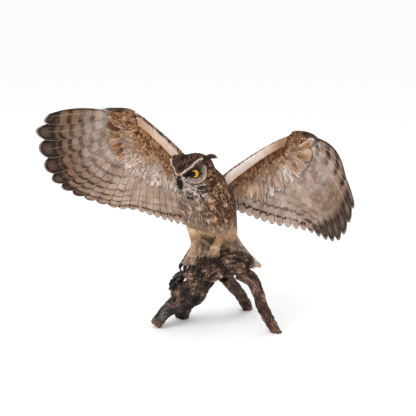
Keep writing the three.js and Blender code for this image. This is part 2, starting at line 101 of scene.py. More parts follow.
# Wings: feather 0 is the outermost primary, 9 the last primary, 18 the innermost secondary and
# 20 the shoulder. Each row holds the leading edge, the feather's root, mid-shaft and tip.
FEATHER = [0, 1, 4, 9, 13, 18, 20]
WINGS = {
    "right": {
        "lead": [[-185, 0, 345], [-180, 2, 345], [-163, 9, 342], [-136, 16, 341], [-98.5, 15, 319],
                 [-46, 5, 282.5], [-26, 4, 255]],
        "root": [[-180, 11, 339], [-179, 14, 331], [-165, 20, 312], [-140, 25, 296], [-108, 22, 278],
                 [-63, 13, 253], [-34, 10, 238]],
        "mid": [[-233, -7, 339], [-243, -7, 311], [-230, -2, 252], [-166, 15, 222], [-116, 20, 222],
                [-63, 18, 218], [-34, 12, 212]],
        "tip": [[-277, -41, 333], [-292, -48, 311], [-267, -41, 227], [-173, -8, 184], [-110, 6, 174],
                [-50, 14, 163], [-34, 12, 172]],
        "short_by": 0.06,     # share of its length that the short feather at the inner hand lacks
        "outer_vane": 0.5,    # width of the first feather's outer half over that of the others
        "notch": 0.11,        # gap between the outermost feathers' tips over their length
        "fringe": 4.6,        # width of the dark feathers that fold over the leading edge
        "strip": 11.5,        # width of the smooth pale strip behind them
        "grey": 0.0,          # how far the paint of its coverts goes to grey
    },
    "left": {
        "lead": [[160, 24, 320], [155, 25, 322], [142, 29, 323.5], [121, 35, 320.5], [84, 28, 300],
                 [36, 19, 265], [20, 10, 250]],
        "root": [[151, 27, 319], [147, 29, 313], [136, 35, 298], [114, 41, 286], [86, 40, 271],
                 [46, 35, 244], [26, 20, 234]],
        "mid": [[205, 5, 300], [208, 4, 282], [187, 8, 246], [137, 24, 242], [94, 33, 235],
                [39, 34, 223], [24, 22, 215]],
        "tip": [[239, -30, 260], [249, -31, 236], [225, -22, 179], [161, 3, 181], [103, 16, 181],
                [37, 22, 194], [20, 16, 196]],
        "short_by": 0.0,
        "outer_vane": 1.1,
        "notch": 0.06,
        "fringe": 2.6,
        "strip": 10.5,
        "grey": 0.35,
    },
}
CORE_CHORD = [0, 0.25, 0.5, 0.75, 1.0, 1.25, 1.5]   # places across the wing, leading edge to fan
CORE_SHARES = [0.62, 1.0, 0.95, 0.45, 0, 0, 0]      # thickness there as a share of the arm's
CORE_RIMS = [0, 0, 0, 1.4, 2.9, 2.0, 1.8]           # and the millimetres added to it
FAN_RUNS = [0.21, 0.42, 0.63, 0.84]                 # shares of the shaft at the last four of them
CORE_THICK = [5, 16]          # thickness of arm and hand, from the hand's end to the shoulder
SHOULDER = 20
PRIMARIES = 10
FEATHERS = 19
NOTCH = 0.05                  # gap between the inner feathers' tips over their length
ALULA = {
    "right": [[-138, 14, 343, 3, 2], [-152, 12, 345, 3.5, 2.5], [-174, 6, 346, 3.5, 2],
              [-197, 0, 348, 1.8, 1]],
    "left": [[126, 36, 323, 3, 2], [138, 34, 324.5, 3.2, 2.5], [159, 30, 323, 3.6, 2],
             [181, 24, 316.5, 2.4, 1]],
}

TAIL_SIDE = [-1, 0, 1]
TAIL = {
    "root": [[-38, 41, 146], [-3, 52, 144], [33, 41, 150]],
    "mid": [[-53, 46, 118], [0, 62, 108], [50, 46, 123]],
    "tip": [[-71, 50, 90], [3, 62, 76], [77, 50, 97]],
}
TAIL_FEATHERS = 12

LEGS = {
    "right": [[-22, 2, 166, 17, 20], [-23, 2, 152, 11, 13], [-23, 0, 138, 7.5, 8], [-23, -8, 124, 7, 7.5]],
    "left": [[12, 15, 166, 16, 19], [13, 17, 152, 10, 12], [13, 13, 142, 7.5, 8], [13, 2, 136, 7, 7.5]],
}
HEELS = {"right": [-23, -9, 119], "left": [13, -2, 134]}
FOOT_TURN = {"right": -4, "left": 8}
TOES = [                      # degrees from straight ahead, length and half thickness
    [-30, 20, 5.0],
    [0, 23, 5.4],
    [32, 20, 5.0],
    [180, 16, 4.8],
]
CLAW = 11.0                   # length of a claw

# Driftwood: [x, y, z, half width, half depth] along each limb.
LIMBS = {
    "driftwood_log": [[-37, -4, 86, 9, 9], [-24, -3, 88, 18, 18], [4, 1, 99, 23, 23], [34, 5, 110, 22, 22],
                      [60, 9, 115, 19, 17], [74, 12, 120, 8, 8]],
    "driftwood_knot": [[2, 3, 84, 13, 14], [-20, -2, 64, 20, 21], [-40, -5, 44, 23, 23],
                       [-50, 6, 24, 15.5, 17], [-57, 20, -8, 9, 10]],
    "driftwood_curl": [[-51, -10, 50, 10, 10], [-56, -8, 62, 10.5, 10.5], [-54, -6, 73, 10.5, 9.5],
                       [-46, -4, 82, 8.5, 8], [-38, -4, 86, 6, 6]],
    "driftwood_branch_front": [[-46, -12, 40, 14, 14], [-58, -26, 30, 13, 13], [-68, -35, 16, 10.8, 10.8],
                               [-76, -42, 3, 9.8, 9.8]],
    "driftwood_leg_side": [[50, 9, 97, 12, 13], [70, 13, 87, 12, 12], [81, 16, 64, 10.5, 10],
                           [88, 18, 42, 10, 10], [100, 20, 20, 9, 9], [118, 20, -8, 7.5, 8]],
    "driftwood_leg_back": [[20, 22, 82, 12, 12], [24, 44, 60, 11, 11], [27, 70, 38, 10, 10],
                           [28, 92, 14, 10, 10], [28, 104, -8, 9, 9]],
}

COAT = 1.1                    # depth of the coat over the skin
VOXEL = 1.35                  # grain of the skin's mesh
WOOD_VOXEL = 1.15             # grain of the driftwood's mesh
BARK = 1.5                    # relief of the bark
PATCH = 0.003                 # width of one small feather's place on the bake map
STEP = 1e-3                   # step in a surface's parameters for taking its slopes
TURN = 2 * np.pi
SEED = 7
rng = np.random.default_rng(SEED)


# ---- Arithmetic ------------------------------------------------------------------------------

def unit(v):
    """Vectors scaled to length 1."""
    return v / np.maximum(np.linalg.norm(v, axis=-1, keepdims=True), 1e-9)


def mix(a, b, share):
    """Straight blend from a at 0 to b at 1."""
    return a + (b - a) * share


def smooth(low, high, x):
    """0 below `low`, 1 above `high`, and 3t^2 - 2t^3 between them."""
    t = np.clip((x - low) / (high - low), 0, 1)
    return t * t * (3 - 2 * t)


def colour(code):
    """Linear red, green and blue of a six-figure paint code."""
    s = np.array([int(code[k:k + 2], 16) for k in (0, 2, 4)]) / 255
    return np.where(s <= 0.04045, s / 12.92, ((s + 0.055) / 1.055) ** 2.4)


def line_weights(knots, at):
    """Weight of each knot's value at the places `at`: a cubic between neighbouring knots whose
    slope at a knot is that of the chord between the knots on either side of it, and straight on
    beyond the first and last knots."""
    knots = np.asarray(knots, float)
    beyond = np.asarray(at, float) - np.clip(at, knots[0], knots[-1])
    at = np.asarray(at, float) - beyond
    count = len(knots)
    every = np.arange(count)
    before, after = np.maximum(every - 1, 0), np.minimum(every + 1, count - 1)
    one = np.eye(count)
    slope = (one[after] - one[before]) / (knots[after] - knots[before])[:, None]
    k = np.clip(np.searchsorted(knots, at, side="right") - 1, 0, count - 2)
    gap = knots[k + 1] - knots[k]
    s = (at - knots[k]) / gap
    parts = [(2 * s**3 - 3 * s**2 + 1, one[k]), (3 * s**2 - 2 * s**3, one[k + 1]),
             (gap * (s**3 - 2 * s**2 + s), slope[k]), (gap * (s**3 - s**2), slope[k + 1]),
             (np.minimum(beyond, 0), slope[0]), (np.maximum(beyond, 0), slope[-1])]
    return sum(share[..., None] * row for share, row in parts)


def along(knots, rows, at):
    """Point on the smooth line through `rows` at the places `at`."""
    return line_weights(knots, at) @ np.asarray(rows, float)


def along_rows(rows, count, low=0.0):
    """`count` points on the smooth line through the rows, from row number `low` to the last."""
    return along(range(len(rows)), rows, np.linspace(low, len(rows) - 1, count))


def mileage(line):
    """Distance travelled at each point of a line."""
    return np.concatenate([[0], np.linalg.norm(np.diff(line, axis=0), axis=1).cumsum()])


def in_blocks(work, points, size=4000):
    """A function of many points, worked out one block of them at a time."""
    return np.concatenate([work(points[start:start + size]) for start in range(0, len(points), size)])


def from_line(points, line):
    """Distance of each point from a line given by closely spaced points."""
    def gaps(block):
        return np.linalg.norm(block[:, None] - line[None], axis=-1).min(1)
    return in_blocks(gaps, points.reshape(-1, 3), 20000).reshape(points.shape[:-1])


def nearest(points, places):
    """Number of the place that lies nearest to each point."""
    size = (places**2).sum(1)
    return in_blocks(lambda block: (size - 2 * block @ places.T).argmin(1), points)


def turn_about(axis, angle):
    """Right-handed turn about a main axis, as a matrix."""
    c, s = np.cos(np.radians(angle)), np.sin(np.radians(angle))
    a, b = [k for k in range(3) if k != axis]
    turn = np.eye(3)
    turn[a, a] = turn[b, b] = c
    turn[b, a], turn[a, b] = (s, -s) if axis != 1 else (-s, s)
    return turn


def crossed(down, over):
    """Two lists of values as grids: the first runs down the rows, the second over the columns."""
    return np.meshgrid(down, over, indexing="ij")


def ball_way(down, turn):
    """Direction at the angle `down` from straight up, turned by `turn` about it."""
    return np.stack([np.sin(down) * np.cos(turn), np.sin(down) * np.sin(turn), np.cos(down)], -1)


def opaque(tones):
    """Tones with a full alpha beside them."""
    return np.concatenate([tones, np.ones((*tones.shape[:-1], 1))], -1)


# ---- Head, wing, limb and tail as functions of two parameters -------------------------------

HEAD_MATRIX = turn_about(2, -HEAD_TURN) @ turn_about(0, HEAD_NOD) @ turn_about(1, HEAD_TILT)


def in_head(places):
    """Places in the head, [forward, sideways, up], as places in the statue."""
    p = np.asarray(places, float)
    return np.stack([p[..., 1], -p[..., 0], p[..., 2]], -1) @ HEAD_MATRIX.T + HEAD_CENTRE


def to_head(points):
    """The reverse of in_head."""
    p = (points - HEAD_CENTRE) @ HEAD_MATRIX
    return np.stack([-p[..., 1], p[..., 0], p[..., 2]], -1)


def mirrored(places, side):
    """Places in the head moved to the bird's left (side 1) or right (side -1)."""
    return np.asarray(places, float) * [1, side, 1]


EYE_OPENING = np.array(EYE) + unit(np.array(EYE_FACING, float)) * EYE_RADIUS


def ball_frame(axis):
    """Axis, sideways and upward unit vectors of a ball that faces along `axis` in the head."""
    axis = unit(np.asarray(axis, float))
    level = unit(np.cross([0, 0, 1.0], axis))
    return axis, level, np.cross(axis, level)


def head_line(places, side, count=60):
    """Closely spaced points on the smooth line through places on one side of the head."""
    return along_rows(mirrored(places, side), count)


def folded(places):
    """Places in the head with those of its right folded over onto its left."""
    return np.stack([places[:, 0], np.abs(places[:, 1]), places[:, 2]], -1)


MARKS = np.array([row for f, s, u in LANDMARKS for row in ([f, s, u], [f, -s, u])[:1 + (s != 0)]], float)
BROW_LINES = np.concatenate([head_line(BROW, side) for side in (1, -1)])
DISC_LINES = np.concatenate([head_line(DISC, side) for side in (1, -1)])


def head_radius(direction):
    """Reach of the head from its centre: the landmarks' own reaches, weighted by how nearly the
    direction points at each, raised along the brows and the rim of the facial disc."""
    reach = np.linalg.norm(MARKS, axis=1)
    weight = np.exp(HEAD_REACH * (direction @ (MARKS / reach[:, None]).T - 1))
    plain = (weight * reach).sum(-1) / weight.sum(-1)
    here = direction * plain[..., None]
    brow = np.exp(-(from_line(here, BROW_LINES) / 2.6) ** 2)
    rim = np.exp(-(from_line(here, DISC_LINES) / 2.2) ** 2)
    return plain - COAT + 1.7 * brow + 0.9 * rim


def head_surface(p):
    """Point of the head's skin in the direction of the vector p from its centre."""
    direction = unit(p)
    return in_head(direction * head_radius(direction)[..., None])


def limb(stations, side=(1, 0, 0), swell=None, shrink=0.0):
    """Surface of a round limb: an ellipse square to a smooth path through the stations. Its
    parameters are the run along the path, 0 to 1, and the angle round it."""
    rows = np.asarray(stations, float)
    knots = np.arange(len(rows))
    side = np.asarray(side, float)

    def weights(run):
        return line_weights(knots, run * knots[-1])

    def surface(p):
        run, angle = p[..., 0], p[..., 1]
        here = weights(run) @ rows
        tangent = unit((weights(run + STEP) - weights(run - STEP)) @ rows[:, :3])
        across = unit(side - tangent * (tangent @ side)[..., None])
        deep = np.cross(tangent, across)
        scale = 1 if swell is None else swell(angle, run)
        wide, thick = (np.maximum(here[..., k] * scale - shrink, 0.3) for k in (3, 4))
        return (here[..., :3] + across * (np.cos(angle) * wide)[..., None]
                + deep * (np.sin(angle) * thick)[..., None])
    return surface


def shafts(lines, weights, run):
    """Point at `run` on the parabola from root through mid-shaft to tip, blended by the weights of
    the lines that cross the feathers at those three."""
    root, mid, tip = (weights @ np.array(lines[key], float) for key in ("root", "mid", "tip"))
    r = np.asarray(run, float)[..., None]
    return root * (1 - r) * (1 - 2 * r) + mid * 4 * r * (1 - r) + tip * r * (2 * r - 1)


def fan(wing, feather, run):
    """Point of the flight feathers' middle surface beside a feather number."""
    return shafts(wing, line_weights(FEATHER, feather), run)


def tail_fan(side, run):
    """Point of the tail's middle surface, side -1 to 1 across it."""
    return shafts(TAIL, line_weights(TAIL_SIDE, side), run)


def chord(wing, feather, q):
    """Point of the wing's middle surface: q runs from 0 at the leading edge through 0.5 at the
    feathers' roots to 1 where the coverts' thick part ends."""
    lead, root = (along(FEATHER, wing[key], feather) for key in ("lead", "root"))
    rows = [lead, mix(lead, root, 0.22), root]
    rows += [fan(wing, feather, np.full_like(feather, run)) for run in FAN_RUNS]
    return np.einsum("...n,n...c->...c", line_weights(CORE_CHORD, q), np.stack(rows))


def core_half(feather, q):
    """Half the wing's thickness: full at the quarter chord, thin at the rim, with a round nose."""
    girth = mix(*CORE_THICK, np.clip(feather / SHOULDER, 0, 1) ** 1.4)
    share, rim = (np.interp(q, CORE_CHORD, values) for values in (CORE_SHARES, CORE_RIMS))
    nose = np.sqrt(1 - (1 - np.clip(q / 0.16, 0, 1)) ** 2)
    return (share * girth + rim) / 2 * nose


def wing_normal(wing, feather, q, step=0.02):
    """Unit normal of the wing's middle surface, turned by the order of its two parameters."""
    over = chord(wing, feather + step, q) - chord(wing, feather - step, q)
    down = chord(wing, feather, q + step) - chord(wing, feather, q - step)
    return unit(np.cross(over, down))


def wing_hand(wing):
    """Sign that turns the wing's normal to its underside, which faces -Y."""
    return -np.sign(wing_normal(wing, np.array([10.0]), np.array([0.6]))[0, 1])


def wing_skin(wing, side):
    """Skin of one side of a wing: side 1 is the underside and -1 the top."""
    outward = wing_hand(wing) * side

    def surface(p):
        feather, q = p[..., 0], p[..., 1]
        half = core_half(feather, q)
        half = np.maximum(half - COAT, np.minimum(0.6, half))
        return chord(wing, feather, q) + wing_normal(wing, feather, q) * (outward * half)[..., None]
    return surface


# ---- Meshes ----------------------------------------------------------------------------------

eye_low, eye_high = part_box("eye_left")
SHIFT = np.array((eye_low + eye_high) / 2) * 1000 - in_head(EYE_NODE)


def to_frame(points):
    """Millimetres in the modeller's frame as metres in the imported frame."""
    return (np.asarray(points, float) + SHIFT) / 1000


def quads(number):
    """Quads between the rows of a grid of vertex numbers."""
    return np.stack([number[:-1, :-1], number[1:, :-1], number[1:, 1:], number[:-1, 1:]], -1).reshape(-1, 4)


def closed_grid(points):
    """Points and faces of rings of points, joined ring to ring, with both ends filled."""
    rows, columns = points.shape[:2]
    number = np.arange(rows * columns).reshape(rows, columns)
    faces = quads(np.concatenate([number, number[:, :1]], 1)).tolist()
    return points.reshape(-1, 3), [*faces, number[0].tolist(), number[-1, ::-1].tolist()]


def fetch(items, field, width=1, kind=np.float32):
    """One field of many mesh items, a row for each."""
    values = np.empty(len(items) * width, kind)
    items.foreach_get(field, values)
    return values.reshape(-1, width) if width > 1 else values


def make_mesh(name, points, faces):
    """Mesh object from points in millimetres and faces."""
    mesh = bpy.data.meshes.new(name)
    faces = faces.tolist() if isinstance(faces, np.ndarray) else faces
    mesh.from_pydata(to_frame(points), [], faces)
    mesh.validate()
    mesh.polygons.foreach_set("use_smooth", np.ones(len(mesh.polygons), bool))
    piece = bpy.data.objects.new(name, mesh)
    bpy.context.scene.collection.objects.link(piece)
    return piece


def give(piece, name, values):
    """Adds a point attribute: a colour of 4 numbers or a vector of 3."""
    kind, field = ("FLOAT_COLOR", "color") if values.shape[-1] == 4 else ("FLOAT_VECTOR", "vector")
    attribute = piece.data.attributes.new(name, kind, "POINT")
    attribute.data.foreach_set(field, np.ascontiguousarray(values, np.float32).ravel())


def give_bake_map(piece, uv, shift=0.0):
    """Adds the map OFBake from one place for each vertex, moved by `shift` at each face's corner."""
    layer = piece.data.uv_layers.new(name="OFBake")
    corner = fetch(piece.data.loops, "vertex_index", kind=np.int32)
    places = np.clip(uv, 0.001, 0.999)[corner] + shift
    layer.data.foreach_set("uv", places.astype(np.float32).ravel())


def unwrap(piece):
    """Lays the faces of a solid piece out on the map OFBake, beside those of what else is selected."""
    bpy.context.view_layer.objects.active = piece
    piece.select_set(True)
    bpy.ops.object.mode_set(mode="EDIT")
    bpy.ops.mesh.select_all(action="SELECT")
    bpy.ops.uv.smart_project(angle_limit=1.15, island_margin=0.002)
    bpy.ops.object.mode_set(mode="OBJECT")
    piece.data.uv_layers[0].name = "OFBake"


def finish_piece(piece, material, slot, nodes=()):
    """Paints a piece, lets it ride on the one body and stands it in for CAD nodes."""
    piece.data.materials.clear()
    piece.data.materials.append(material)
    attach(piece, "root")
    if nodes:
        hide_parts(*nodes)


def tube(surface, rows, columns):
    """Closed mesh of a limb's surface: a grid over run and angle, with its ends filled."""
    run, angle = crossed(np.linspace(0, 1, rows), np.arange(columns) * TURN / columns)
    return closed_grid(surface(np.stack([run, angle], -1)))


def joined(parts):
    """Several (points, faces) as one."""
    points, faces, base = [], [], 0
    for more, new_faces in parts:
        points.append(more)
        faces += [[base + k for k in face] for face in new_faces]
        base += len(more)
    return np.concatenate(points), faces


def fused(name, parts, voxel):
    """One closed skin round several overlapping closed forms, remeshed and smoothed."""
    piece = make_mesh(name, *joined(parts))
    remesh = piece.modifiers.new("Fuse", "REMESH")
    remesh.mode = "VOXEL"
    remesh.voxel_size = voxel / 1000
    ease = piece.modifiers.new("Ease", "SMOOTH")
    ease.factor = 0.5
    ease.iterations = 3
    bpy.context.view_layer.update()
    done = bpy.data.meshes.new_from_object(piece.evaluated_get(bpy.context.evaluated_depsgraph_get()))
    piece.modifiers.clear()
    piece.data = done
    done.name = name
    done.polygons.foreach_set("use_smooth", np.ones(len(done.polygons), bool))
    return piece


def vertices_of(piece):
    """Vertex places in millimetres in the modeller's frame."""
    return fetch(piece.data.vertices, "co", 3).astype(float) * 1000 - SHIFT


# ---- Shader nodes ----------------------------------------------------------------------------

class Wires:
    """Shader nodes of one tree, made and joined by short calls."""

    def __init__(self, tree):
        self.tree = tree

    def add(self, kind, inputs=None, **settings):
        node = self.tree.nodes.new("ShaderNode" + kind)
        for key, value in settings.items():
            setattr(node, key, value)
        for key, value in (inputs or {}).items():
            self.put(node.inputs[key], value)
        return node

    def put(self, socket, value):
        """Joins a socket to another, or sets it to a number or a six-figure paint code."""
        if isinstance(value, bpy.types.NodeSocket):
            self.tree.links.new(value, socket)
        else:
            socket.default_value = (*colour(value), 1.0) if isinstance(value, str) else value

    def use(self, tree, **inputs):
        return self.add("Group", inputs, node_tree=tree).outputs

    def math(self, operation, *values):
        return self.add("Math", dict(enumerate(values)), operation=operation).outputs[0]

    def plus(self, a, b):
        return self.math("ADD", a, b)

    def minus(self, a, b):
        return self.math("SUBTRACT", a, b)

    def times_plus(self, a, b, c):
        return self.math("MULTIPLY_ADD", a, b, c)

    def most(self, a, b):
        return self.math("MAXIMUM", a, b)

    def product(self, *values):
        result = values[0]
        for value in values[1:]:
            result = self.math("MULTIPLY", result, value)
        return result

    def ramp(self, low, high, x, start=0.0, end=1.0):
        """Smooth step of x from `start` at low to `end` at high."""
        places = {"Value": x, "From Min": low, "From Max": high, "To Min": start, "To Max": end}
        return self.add("MapRange", places, interpolation_type="SMOOTHSTEP").outputs[0]

    def blend(self, share, a, b, way="MIX"):
        return self.add("Mix", {0: share, 6: a, 7: b}, data_type="RGBA", blend_type=way).outputs[2]

    def tint(self, paint, by, share=1.0):
        """Paint multiplied by a tone or a level, as much as `share` says."""
        return self.blend(share, paint, by, "MULTIPLY")

    def whole(self, name, output="Color"):
        """A point attribute, by default as a colour."""
        return self.add("Attribute", attribute_name=name).outputs[output]

    def split(self, name):
        """The three numbers of a point attribute."""
        return self.add("SeparateXYZ", {0: self.whole(name, "Vector")}).outputs

    def noise(self, place, scale, detail=3.0):
        return self.add("TexNoise", {"Vector": place, "Scale": scale, "Detail": detail}).outputs[0]

    def here(self):
        return self.add("TexCoord").outputs["Object"]


def group(name, inputs, outputs):
    """Empty node group with its sockets, and the wires inside it."""
    tree = bpy.data.node_groups.new(name, "ShaderNodeTree")
    for title, value in inputs.items():
        kind = "NodeSocketColor" if isinstance(value, tuple) else "NodeSocketFloat"
        tree.interface.new_socket(name=title, in_out="INPUT", socket_type=kind).default_value = value
    for title, kind in outputs.items():
        tree.interface.new_socket(name=title, in_out="OUTPUT", socket_type="NodeSocket" + kind)
    wires = Wires(tree)
    return tree, wires, tree.nodes.new("NodeGroupInput").outputs, tree.nodes.new("NodeGroupOutput").inputs


def hand_paint_group():
    """Uneven hand painting: broad clouds of thicker and thinner paint, and fine grain."""
    tree, w, given, out = group("Hand paint", {"Paint": (1.0, 1.0, 1.0, 1.0), "Unevenness": 0.3},
                                {"Color": "Color", "Grain": "Float"})
    place = w.here()
    clouds = w.ramp(0.3, 0.7, w.noise(place, 90.0), -1.0, 1.0)
    grain = w.noise(place, 900.0, 2.0)
    level = w.times_plus(w.product(clouds, given["Unevenness"]), 0.45, 1.0)
    level = w.plus(level, w.product(w.minus(grain, 0.5), given["Unevenness"], 1.1))
    w.put(out["Color"], w.tint(given["Paint"], level))
    w.put(out["Grain"], grain)
    return tree


def barb_group():
    """Relief of one feather: fine slanting barbs either side of a raised shaft, and the grooves
    between the barbs as a mask for painted shade.
    """
    tree, w, given, out = group("Barbs", {"Barbs": 16.0, "Slant": 7.0},
                                {"Height": "Float", "Groove shade": "Float"})
    u, v, _ = w.split("vane")
    side = w.math("ABSOLUTE", v)
    turns = w.times_plus(u, given["Barbs"], w.product(side, given["Slant"], -1.0))
    turns = w.times_plus(w.noise(w.here(), 260.0), 1.6, turns)
    groove = w.ramp(0.35, 1.0, w.math("SINE", w.product(turns, TURN)))
    shaft = w.ramp(0.16, 0.03, side)
    edge = w.ramp(0.75, 1.0, side)
    height = w.minus(w.product(shaft, 1.2), w.product(groove, 0.5))
    w.put(out["Height"], w.minus(height, w.product(edge, 0.5)))
    w.put(out["Groove shade"], groove)
    return tree


HAND_PAINT = hand_paint_group()
BARBS = barb_group()


def new_material(name):
    """Empty material, the wires inside it and its Principled shader."""
    material = bpy.data.materials.new(name)
    material.use_nodes = True
    tree = material.node_tree
    tree.nodes.clear()
    wires = Wires(tree)
    shader = wires.add("BsdfPrincipled")
    wires.put(wires.add("OutputMaterial").inputs["Surface"], shader.outputs[0])
    return material, wires, shader


def set_finish(shader, roughness, specular, coat=0.0):
    """Gloss of the paint and how much varnish lies over it."""
    gloss = {"Roughness": roughness, "Specular IOR Level": specular, "Coat Weight": coat,
             "Coat Roughness": 0.05}
    for key, value in gloss.items():
        shader.inputs[key].default_value = value


def put_paint(w, shader, paint, unevenness, *finish):
    """Lays paint on unevenly, as by hand, and returns its grain."""
    done = w.use(HAND_PAINT, Paint=paint, Unevenness=unevenness)
    w.put(shader.inputs["Base Color"], done["Color"])
    set_finish(shader, *finish)
    return done["Grain"]


def set_bump(wires, shader, height, distance, strength):
    """Relief of `height`, where 1 stands for `distance` in metres."""
    bump = wires.add("Bump", {"Height": height, "Distance": distance, "Strength": strength})
    wires.put(shader.inputs["Normal"], bump.outputs[0])


def plain_paint(name, code, unevenness, distance, strength, *finish):
    """A brushed tone with a soft grain: a paint code, or the attribute `tone` where there is none."""
    material, w, shader = new_material(name)
    grain = put_paint(w, shader, code or w.whole("tone"), unevenness, *finish)
    set_bump(w, shader, grain, distance, strength)
    return material


def coat_material():
    """Small feathers: their own tone, a dark drop towards the tip or a streak down the shaft, a
    pale edge, and a dark wash that is partly the statue's wash and partly painted shade, where
    the next feather covers the root, along the vane's sides and in the barbs' grooves."""
    material, w, shader = new_material("painted small feathers")
    u, v, rnd = w.split("vane")
    spot, edge, root = w.split("mark")
    streak = w.whole("mark", "Alpha")
    tone = w.whole("tone")
    side = w.math("ABSOLUTE", v)
    ragged = w.minus(w.noise(w.here(), 520.0), 0.5)
    rough_side = w.times_plus(ragged, 1.1, side)
    rough_u = w.times_plus(ragged, 0.5, u)
    along_drop = w.math("POWER", w.math("DIVIDE", w.minus(rough_u, 0.70), 0.30), 2.0)
    across_drop = w.math("POWER", w.math("DIVIDE", rough_side, 0.80), 2.0)
    drop = w.ramp(1.8, 0.1, w.plus(along_drop, across_drop))
    line = w.product(w.ramp(0.45, 0.08, rough_side), w.ramp(1.0, 0.75, u))
    rim = w.most(w.ramp(0.60, 0.95, rough_side), w.ramp(0.84, 0.98, u))
    paint = w.blend(w.product(rim, edge), tone, w.blend(0.6, tone, "e6d6c6"))
    paint = w.blend(w.most(w.product(drop, spot), w.product(line, streak)), paint, w.whole("ink"))
    relief = w.use(BARBS, Barbs=9.0, Slant=3.0)
    # Painted shade, with the statue's dark wash: a brown tint at the covered root, along the vane's sides
    # and in the barbs' grooves.
    wash_and_shade = w.most(w.product(w.ramp(0.68, 0.2, u), root), w.product(relief["Groove shade"], 0.3))
    wash_and_shade = w.most(wash_and_shade, w.product(w.ramp(0.90, 1.0, side), root, 0.8))
    paint = w.tint(w.tint(paint, "533828", wash_and_shade), w.times_plus(rnd, 0.30, 0.84))
    put_paint(w, shader, paint, 0.35, 0.68, 0.06)
    set_bump(w, shader, relief["Height"], 0.00022, 0.8)
    return material


def flight_material(name, ground, inner, dark, bar_gap, bar_keep, turnover, tip_dark, top,
                    shafts=(0.12, 0.12), bar_depth=0.8, far=("c3b1a6", 105.0, 0.6, 99.0)):
    """Flight feathers. Dark bars cross each feather at even steps from its tip, bent towards the
    root at the shaft; `bar_gap` is their spacing at the outer and inner feathers and `bar_keep`
    how far from the tip they last there, in millimetres, changing over between the two feather
    numbers of `turnover`. The outer feathers end in dark patches with a browner middle, up to the
    feather number `tip_dark`. `top` is the upper side's ground, `shafts` how pale the shafts of the
    outer and inner feathers are, and `far` the tone towards the root, with the distance from the
    tip where it is full, its share and the last feather with it."""
    material, w, shader = new_material(name)
    _, v, rnd = w.split("vane")
    reach, number, under = w.split("reach")
    side = w.math("ABSOLUTE", v)
    place = w.here()
    wander = w.minus(w.noise(place, 150.0), 0.5)
    cloud = w.noise(place, 60.0, 2.0)
    from_tip = w.times_plus(reach, 100.0, w.product(side, side, 7.0))
    from_tip = w.times_plus(wander, 9.0, from_tip)
    spacing = w.ramp(0.0, turnover[1] + 1.5, number, *bar_gap)
    start = w.ramp(7.0, 10.0, number, 2.0, 11.0)
    wave = w.math("COSINE", w.product(w.math("DIVIDE", w.minus(from_tip, start), spacing), TURN))
    keep = w.ramp(*turnover, number, *bar_keep)
    fade = w.ramp(w.product(keep, 2.2), w.product(keep, 0.5), from_tip, 0.22, 1.0)
    thin = w.ramp(3.0, 9.0, number, -0.15, 0.3)
    bars = w.product(w.ramp(thin, w.plus(thin, 0.7), wave), fade, w.ramp(0.3, 0.55, cloud, 0.45, 1.0))
    patch = w.ramp(tip_dark + 3.0, tip_dark - 2.0, number, 0.0, 34.0)
    patch = w.minus(patch, w.ramp(1.3, 0.0, number, 0.0, 12.0))
    ends = w.product(w.ramp(w.plus(patch, 8.0), w.minus(patch, 5.0), from_tip), w.ramp(2.0, 12.0, patch))
    heart = w.product(w.ramp(0.68, 0.22, side), w.ramp(4.0, 12.0, from_tip),
                      w.ramp(w.minus(patch, 4.0), w.minus(patch, 15.0), from_tip), 0.32)
    rootward = w.product(w.ramp(0.43 * far[1], far[1], from_tip, 0.0, far[2]),
                         w.ramp(far[3] + 1.0, far[3], number))
    lower = w.blend(rootward, w.blend(w.ramp(3.0, 9.0, number), ground, inner), far[0])
    clouded = w.product(w.ramp(0.42, 0.62, cloud), w.ramp(13.0, 4.0, number, 0.35, 0.6))
    paint = w.blend(under, top, w.blend(clouded, lower, "7f5c46"))
    paint = w.blend(w.most(w.product(bars, bar_depth), w.product(ends, 0.92)), paint, dark)
    paint = w.blend(w.product(heart, ends), paint, "8b7262")
    rim = w.most(w.ramp(0.84, 0.95, side), w.ramp(4.4, 2.0, w.product(reach, 100.0)))
    paint = w.blend(w.product(rim, 0.325), paint, "e0cfbf")
    # Painted shade: dark brown where the next feather's edge lies over this one, at the very rim, and in the
    # barbs' grooves.
    gap = w.most(w.ramp(-0.50, -0.80, v), w.ramp(0.95, 1.0, v))
    relief = w.use(BARBS, Barbs=46.0, Slant=9.0)
    paint = w.tint(paint, "513628", w.most(w.product(gap, 0.85), w.product(relief["Groove shade"], 0.32)))
    stripe = w.product(w.ramp(0.09, 0.03, side), w.ramp(6.0, 20.0, from_tip),
                       w.ramp(3.0, 1.0, number, shafts[1], shafts[0]))
    paint = w.tint(w.blend(stripe, paint, "e4d3c2"), w.times_plus(rnd, 0.16, 0.92))
    put_paint(w, shader, paint, 0.35, 0.62, 0.12)
    set_bump(w, shader, relief["Height"], 0.0003, 0.8)
    return material


# ---- The skin --------------------------------------------------------------------------------

COVERT_ENDS = [-0.4, 0, 4, 9, 13, 18, 20]       # feathers
COVERT_REACH = [0.34, 0.38, 0.52, 0.76, 0.92, 0.95, 0.95]   # where arm and hand end across the wing


def toe_stations(heel, turn, toe):
    """Stations of one toe from the pad over the bark and of its claw, and the way level across it."""
    spread, length, girth = toe
    heading = np.radians(turn + spread)
    out = np.array([np.sin(heading), -np.cos(heading), 0])

    def at(reach, drop, half):
        return [*(np.array(heel) + out * reach - [0, 0, drop]), half, half]
    toe_rows = [at(0, 2, girth), at(length * 0.45, 3.5, girth), at(length * 0.8, 6, girth * 0.95),
                at(length, 10, girth * 0.78), at(length + 1.2, 12.5, girth * 0.5)]
    claw_rows = [at(length - 1.5, 8.5, 3.2), at(length + CLAW * 0.24, 11.6, 3.0),
                 at(length + CLAW * 0.36, 16.0, 2.1), at(length + CLAW * 0.24, 21.6, 0.4)]
    return toe_rows, claw_rows, (np.cos(heading), np.sin(heading), 0)


